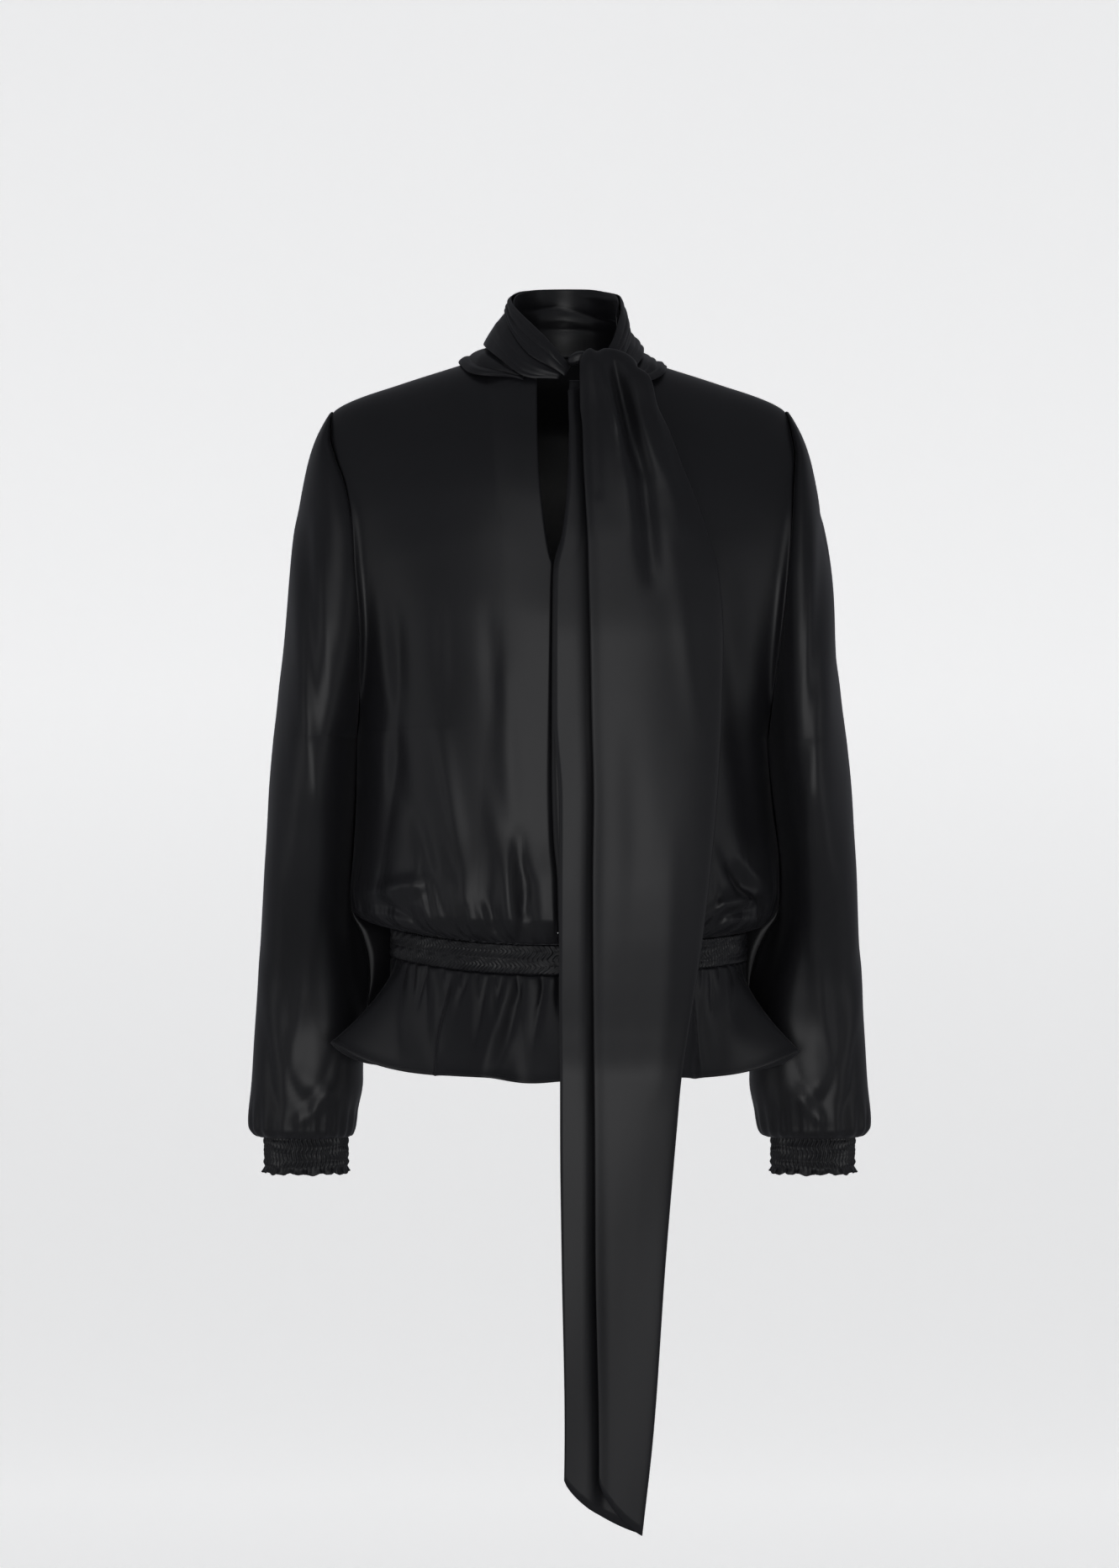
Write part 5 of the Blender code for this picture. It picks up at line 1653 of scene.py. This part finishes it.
def stitch_nodes():
    """The Geometry Nodes group that lays stitches of thread along a path."""
    name = "Blouse Stitches"
    if name in bpy.data.node_groups:
        return bpy.data.node_groups[name]
    group = bpy.data.node_groups.new(name, "GeometryNodeTree")
    face = group.interface
    face.new_socket("Path", in_out="INPUT", socket_type="NodeSocketGeometry")
    for label, value, about in (
        ("Pitch", 0.0026, "Distance from a stitch to the next"),
        ("Length", 0.0019, "Length of a stitch"),
        ("Thread", 0.0003, "Thickness of the thread"),
    ):
        made = face.new_socket(label, in_out="INPUT", socket_type="NodeSocketFloat")
        made.default_value = value
        made.description = about
        made.subtype = "DISTANCE"
    made = face.new_socket("Seed", in_out="INPUT", socket_type="NodeSocketInt")
    made.description = "Seed of the stitches' unevenness"
    made = face.new_socket("Material", in_out="INPUT", socket_type="NodeSocketMaterial")
    made.description = "Material of the thread"
    face.new_socket("Stitches", in_out="OUTPUT", socket_type="NodeSocketGeometry")
    start = node(group, "NodeGroupInput", (-1100, 0))
    end = node(group, "NodeGroupOutput", (900, 0))
    curve = node(group, "GeometryNodeMeshToCurve", (-850, 100))
    spaced = node(group, "GeometryNodeResampleCurve", (-650, 100), mode="LENGTH")
    tangent = node(group, "GeometryNodeInputTangent", (-850, -200))
    turned = node(group, "FunctionNodeAlignRotationToVector", (-450, -200), axis="Z")
    bead = node(group, "GeometryNodeMeshUVSphere", (-450, -450), Segments=6, Rings=4, Radius=0.5)
    size = node(group, "ShaderNodeCombineXYZ", (-450, -700))
    uneven = node(group, "FunctionNodeRandomValue", (-650, -900), data_type="FLOAT")
    placed = node(group, "GeometryNodeInstanceOnPoints", (-150, 0))
    real = node(group, "GeometryNodeRealizeInstances", (150, 0))
    coloured = node(group, "GeometryNodeSetMaterial", (450, 0))
    scaled = node(group, "ShaderNodeMath", (-650, -650), operation="MULTIPLY")
    floats = [socket for socket in uneven.inputs if socket.name in ("Min", "Max") and socket.type == "VALUE"]
    floats[0].default_value = 0.8
    floats[1].default_value = 1.1
    varied = next(socket for socket in uneven.outputs if socket.type == "VALUE")
    for output, socket in (
        (start.outputs["Path"], curve.inputs["Mesh"]),
        (curve.outputs["Curve"], spaced.inputs["Curve"]),
        (start.outputs["Pitch"], spaced.inputs["Length"]),
        (tangent.outputs["Tangent"], turned.inputs["Vector"]),
        (start.outputs["Seed"], uneven.inputs["Seed"]),
        (start.outputs["Length"], scaled.inputs[0]),
        (varied, scaled.inputs[1]),
        (start.outputs["Thread"], size.inputs["X"]),
        (start.outputs["Thread"], size.inputs["Y"]),
        (scaled.outputs["Value"], size.inputs["Z"]),
        (spaced.outputs["Curve"], placed.inputs["Points"]),
        (bead.outputs["Mesh"], placed.inputs["Instance"]),
        (turned.outputs["Rotation"], placed.inputs["Rotation"]),
        (size.outputs["Vector"], placed.inputs["Scale"]),
        (placed.outputs["Instances"], real.inputs["Geometry"]),
        (real.outputs["Geometry"], coloured.inputs["Geometry"]),
        (start.outputs["Material"], coloured.inputs["Material"]),
        (coloured.outputs["Geometry"], end.inputs["Stitches"]),
    ):
        group.links.new(output, socket)
    return group


# How far thread lies outside the cloth's middle surface, and the elastic rows' longer stitches.
THREAD_OUT = 0.45
HEM_THREAD_OUT = 0.25
ELASTIC_PITCH = 1.2


def elastic_row(point, turns, v, centre):
    """A row of stitching all round a smocked piece, just outside its surface."""
    ring = point(np.mod(turns, 4.0), np.full(turns.shape, v))
    push_out(ring, THREAD_OUT, ring[:, 0] - centre[0], ring[:, 1] - centre[1])
    return ring


def stitches(name, paths, pitch_share=1.0):
    """Stitches along paths, each a list of points in millimetres, made real through Geometry Nodes."""
    look = bpy.context.scene.blouse.stitches
    points, edges = [], []
    for path in paths:
        first = len(points)
        points += [tuple(p * MM) for p in path]
        edges += [(first + i, first + i + 1) for i in range(len(path) - 1)]
    mesh = bpy.data.meshes.new(name + "_path")
    mesh.from_pydata(points, edges, [])
    path_object = add_object(name + "_path", mesh)
    group = stitch_nodes()
    modifier = path_object.modifiers.new("Stitches", "NODES")
    modifier.node_group = group
    values = {
        "Pitch": look.pitch * pitch_share,
        "Length": look.length * pitch_share,
        "Thread": look.width,
        "Seed": look.seed,
        "Material": thread_material(),
    }
    for item in group.interface.items_tree:
        if item.item_type == "SOCKET" and item.in_out == "INPUT" and item.name in values:
            modifier[item.identifier] = values[item.name]
    graph = bpy.context.evaluated_depsgraph_get()
    made_mesh = bpy.data.meshes.new_from_object(path_object.evaluated_get(graph), depsgraph=graph)
    bpy.data.objects.remove(path_object)
    if not made_mesh.vertices:
        raise RuntimeError(name + " came out empty")
    made = add_object(name, made_mesh)
    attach(made, "root")
    return made


class BLOUSE_OT_stitches(bpy.types.Operator):
    """Sew the hem and the elastic rows of the waist and cuffs with Geometry Nodes"""

    bl_idname = "blouse.sew"
    bl_label = "Sew Stitches"

    def execute(self, context):
        look = context.scene.blouse.smocking
        around = np.linspace(0, 4, 1201)
        hem = peplum(np.mod(around, 4.0), np.full(around.shape, HEM_FOLD))
        push_out(hem, HEM_THREAD_OUT, hem[:, 0] - PEPLUM_CENTRE_X, hem[:, 1])
        stitches("hem_stitches", [hem])
        rows = [
            elastic_row(waistband, around, min(max(k / look.waist_rows, 0.03), 0.97), (0, 0))
            for k in range(look.waist_rows + 1)
        ]
        stitches("waist_elastic_stitches", rows, ELASTIC_PITCH)
        turn = np.linspace(0, 4, 241)
        rows = [
            elastic_row(
                lambda a, v, side=side: cuff(a, v, side), turn, max(CUFF_SMOCKED * k / look.cuff_rows, 0.02),
                (side * CUFF_X, CUFF_Y),
            )
            for side in (RIGHT, LEFT)
            for k in range(look.cuff_rows + 1)
        ]
        stitches("cuff_elastic_stitches", rows, ELASTIC_PITCH)
        return {"FINISHED"}


# The sweep, in metres: a floor, a rounded corner and a wall behind.
SWEEP_FRONT = -9.0
SWEEP_CORNER = 2.6
SWEEP_RADIUS = 1.2
SWEEP_HEIGHT = 5.0
SWEEP_HALF_WIDTH = 8.0


class BLOUSE_OT_stage(bpy.types.Operator):
    """Set up the pale floor and backdrop, the soft lights and the camera"""

    bl_idname = "blouse.make_stage"
    bl_label = "Make Stage"

    def execute(self, context):
        look = context.scene.blouse.stage
        scene = context.scene
        profile = [(SWEEP_FRONT, 0.0), (SWEEP_CORNER, 0.0)]
        for i in range(1, 13):
            angle = math.pi / 2 * i / 12
            back, rise = SWEEP_RADIUS * math.sin(angle), SWEEP_RADIUS * (1 - math.cos(angle))
            profile.append((SWEEP_CORNER + back, rise))
        profile.append((SWEEP_CORNER + SWEEP_RADIUS, SWEEP_HEIGHT))
        points = [(x, y, look.floor + z) for x in (-SWEEP_HALF_WIDTH, SWEEP_HALF_WIDTH) for y, z in profile]
        count = len(profile)
        faces = [(i, count + i, count + i + 1, i + 1) for i in range(count - 1)]
        mesh = bpy.data.meshes.new("studio_sweep")
        mesh.from_pydata(points, [], faces)
        mesh.shade_smooth()
        mesh.materials.append(pale_material("pale_sweep", (0.9, 0.9, 0.9), 0.55))
        sweep = add_object("studio_sweep", mesh)
        sweep.visible_glossy = False
        world = bpy.data.worlds.new("studio")
        world.use_nodes = True
        world.node_tree.nodes["Background"].inputs["Color"].default_value = (0.9, 0.92, 1.0, 1)
        world.node_tree.nodes["Background"].inputs["Strength"].default_value = 0.12
        scene.world = world
        for name, place_at, aim, size, power in (
            ("front_softbox", (0.0, -4.6, -0.75), (0.0, 0.0, -0.45), (3.2, 2.0), look.front_light),
            ("high_softbox", (0.0, -3.9, 1.5), (0.0, 0.0, -0.3), (3.2, 1.4), look.high_light),
            ("left_softbox", (-3.2, -1.4, -0.5), (0.0, 0.0, -0.45), (1.4, 2.2), look.side_light),
            ("right_softbox", (3.2, -1.4, -0.5), (0.0, 0.0, -0.45), (1.4, 2.2), look.side_light),
        ):
            light = bpy.data.lights.new(name, "AREA")
            light.shape = "RECTANGLE"
            light.size, light.size_y = size
            light.energy = power
            lamp = add_object(name, light)
            lamp.location = place_at
            lamp.rotation_euler = (Vector(aim) - Vector(place_at)).to_track_quat("-Z", "Y").to_euler()
        camera = bpy.data.cameras.new("camera")
        camera.lens = look.lens
        camera.sensor_width = 36.0
        camera.sensor_fit = "AUTO"
        camera.dof.use_dof = False
        eye = add_object("camera", camera)
        eye.location = (0.0, -look.distance, look.camera_height)
        eye.rotation_euler = (math.pi / 2, 0.0, 0.0)
        scene.camera = eye
        scene.view_settings.view_transform = "Standard"
        return {"FINISHED"}


class BLOUSE_PT_panel(bpy.types.Panel):
    bl_label = "Blouse"
    bl_idname = "BLOUSE_PT_panel"
    bl_space_type = "VIEW_3D"
    bl_region_type = "UI"
    bl_category = "Blouse"

    def draw(self, context):
        settings = context.scene.blouse
        for title, group, operators in (
            ("Cloth", settings.cloth, ("make_body", "make_sleeves", "make_collar", "make_sash")),
            ("Smocking", settings.smocking, ("make_cuffs", "make_waist")),
            ("Stitches", settings.stitches, ("sew",)),
            ("Satin", settings.satin, ()),
            ("Stage", settings.stage, ("make_stage",)),
        ):
            box = self.layout.box()
            box.label(text=title)
            for name in group.__annotations__:
                box.prop(group, name)
            for operator in operators:
                box.operator("blouse." + operator)


CLASSES = (
    BlouseCloth,
    BlouseSmocking,
    BlouseStitches,
    BlouseSatin,
    BlouseStage,
    BlouseSettings,
    BLOUSE_OT_body,
    BLOUSE_OT_sleeves,
    BLOUSE_OT_cuffs,
    BLOUSE_OT_waist,
    BLOUSE_OT_collar,
    BLOUSE_OT_sash,
    BLOUSE_OT_stitches,
    BLOUSE_OT_stage,
    BLOUSE_PT_panel,
)


def register():
    for made in CLASSES:
        bpy.utils.register_class(made)
    bpy.types.Scene.blouse = bpy.props.PointerProperty(
        type=BlouseSettings, name="Blouse", description="Settings of the blouse"
    )


def unregister():
    del bpy.types.Scene.blouse
    for made in reversed(CLASSES):
        bpy.utils.unregister_class(made)


def main():
    register()
    bpy.ops.blouse.make_stage()
    bpy.ops.blouse.make_body()
    bpy.ops.blouse.make_sleeves()
    bpy.ops.blouse.make_cuffs()
    bpy.ops.blouse.make_waist()
    bpy.ops.blouse.make_collar()
    bpy.ops.blouse.make_sash()
    bpy.ops.blouse.sew()


if __name__ == "__main__":
    main()
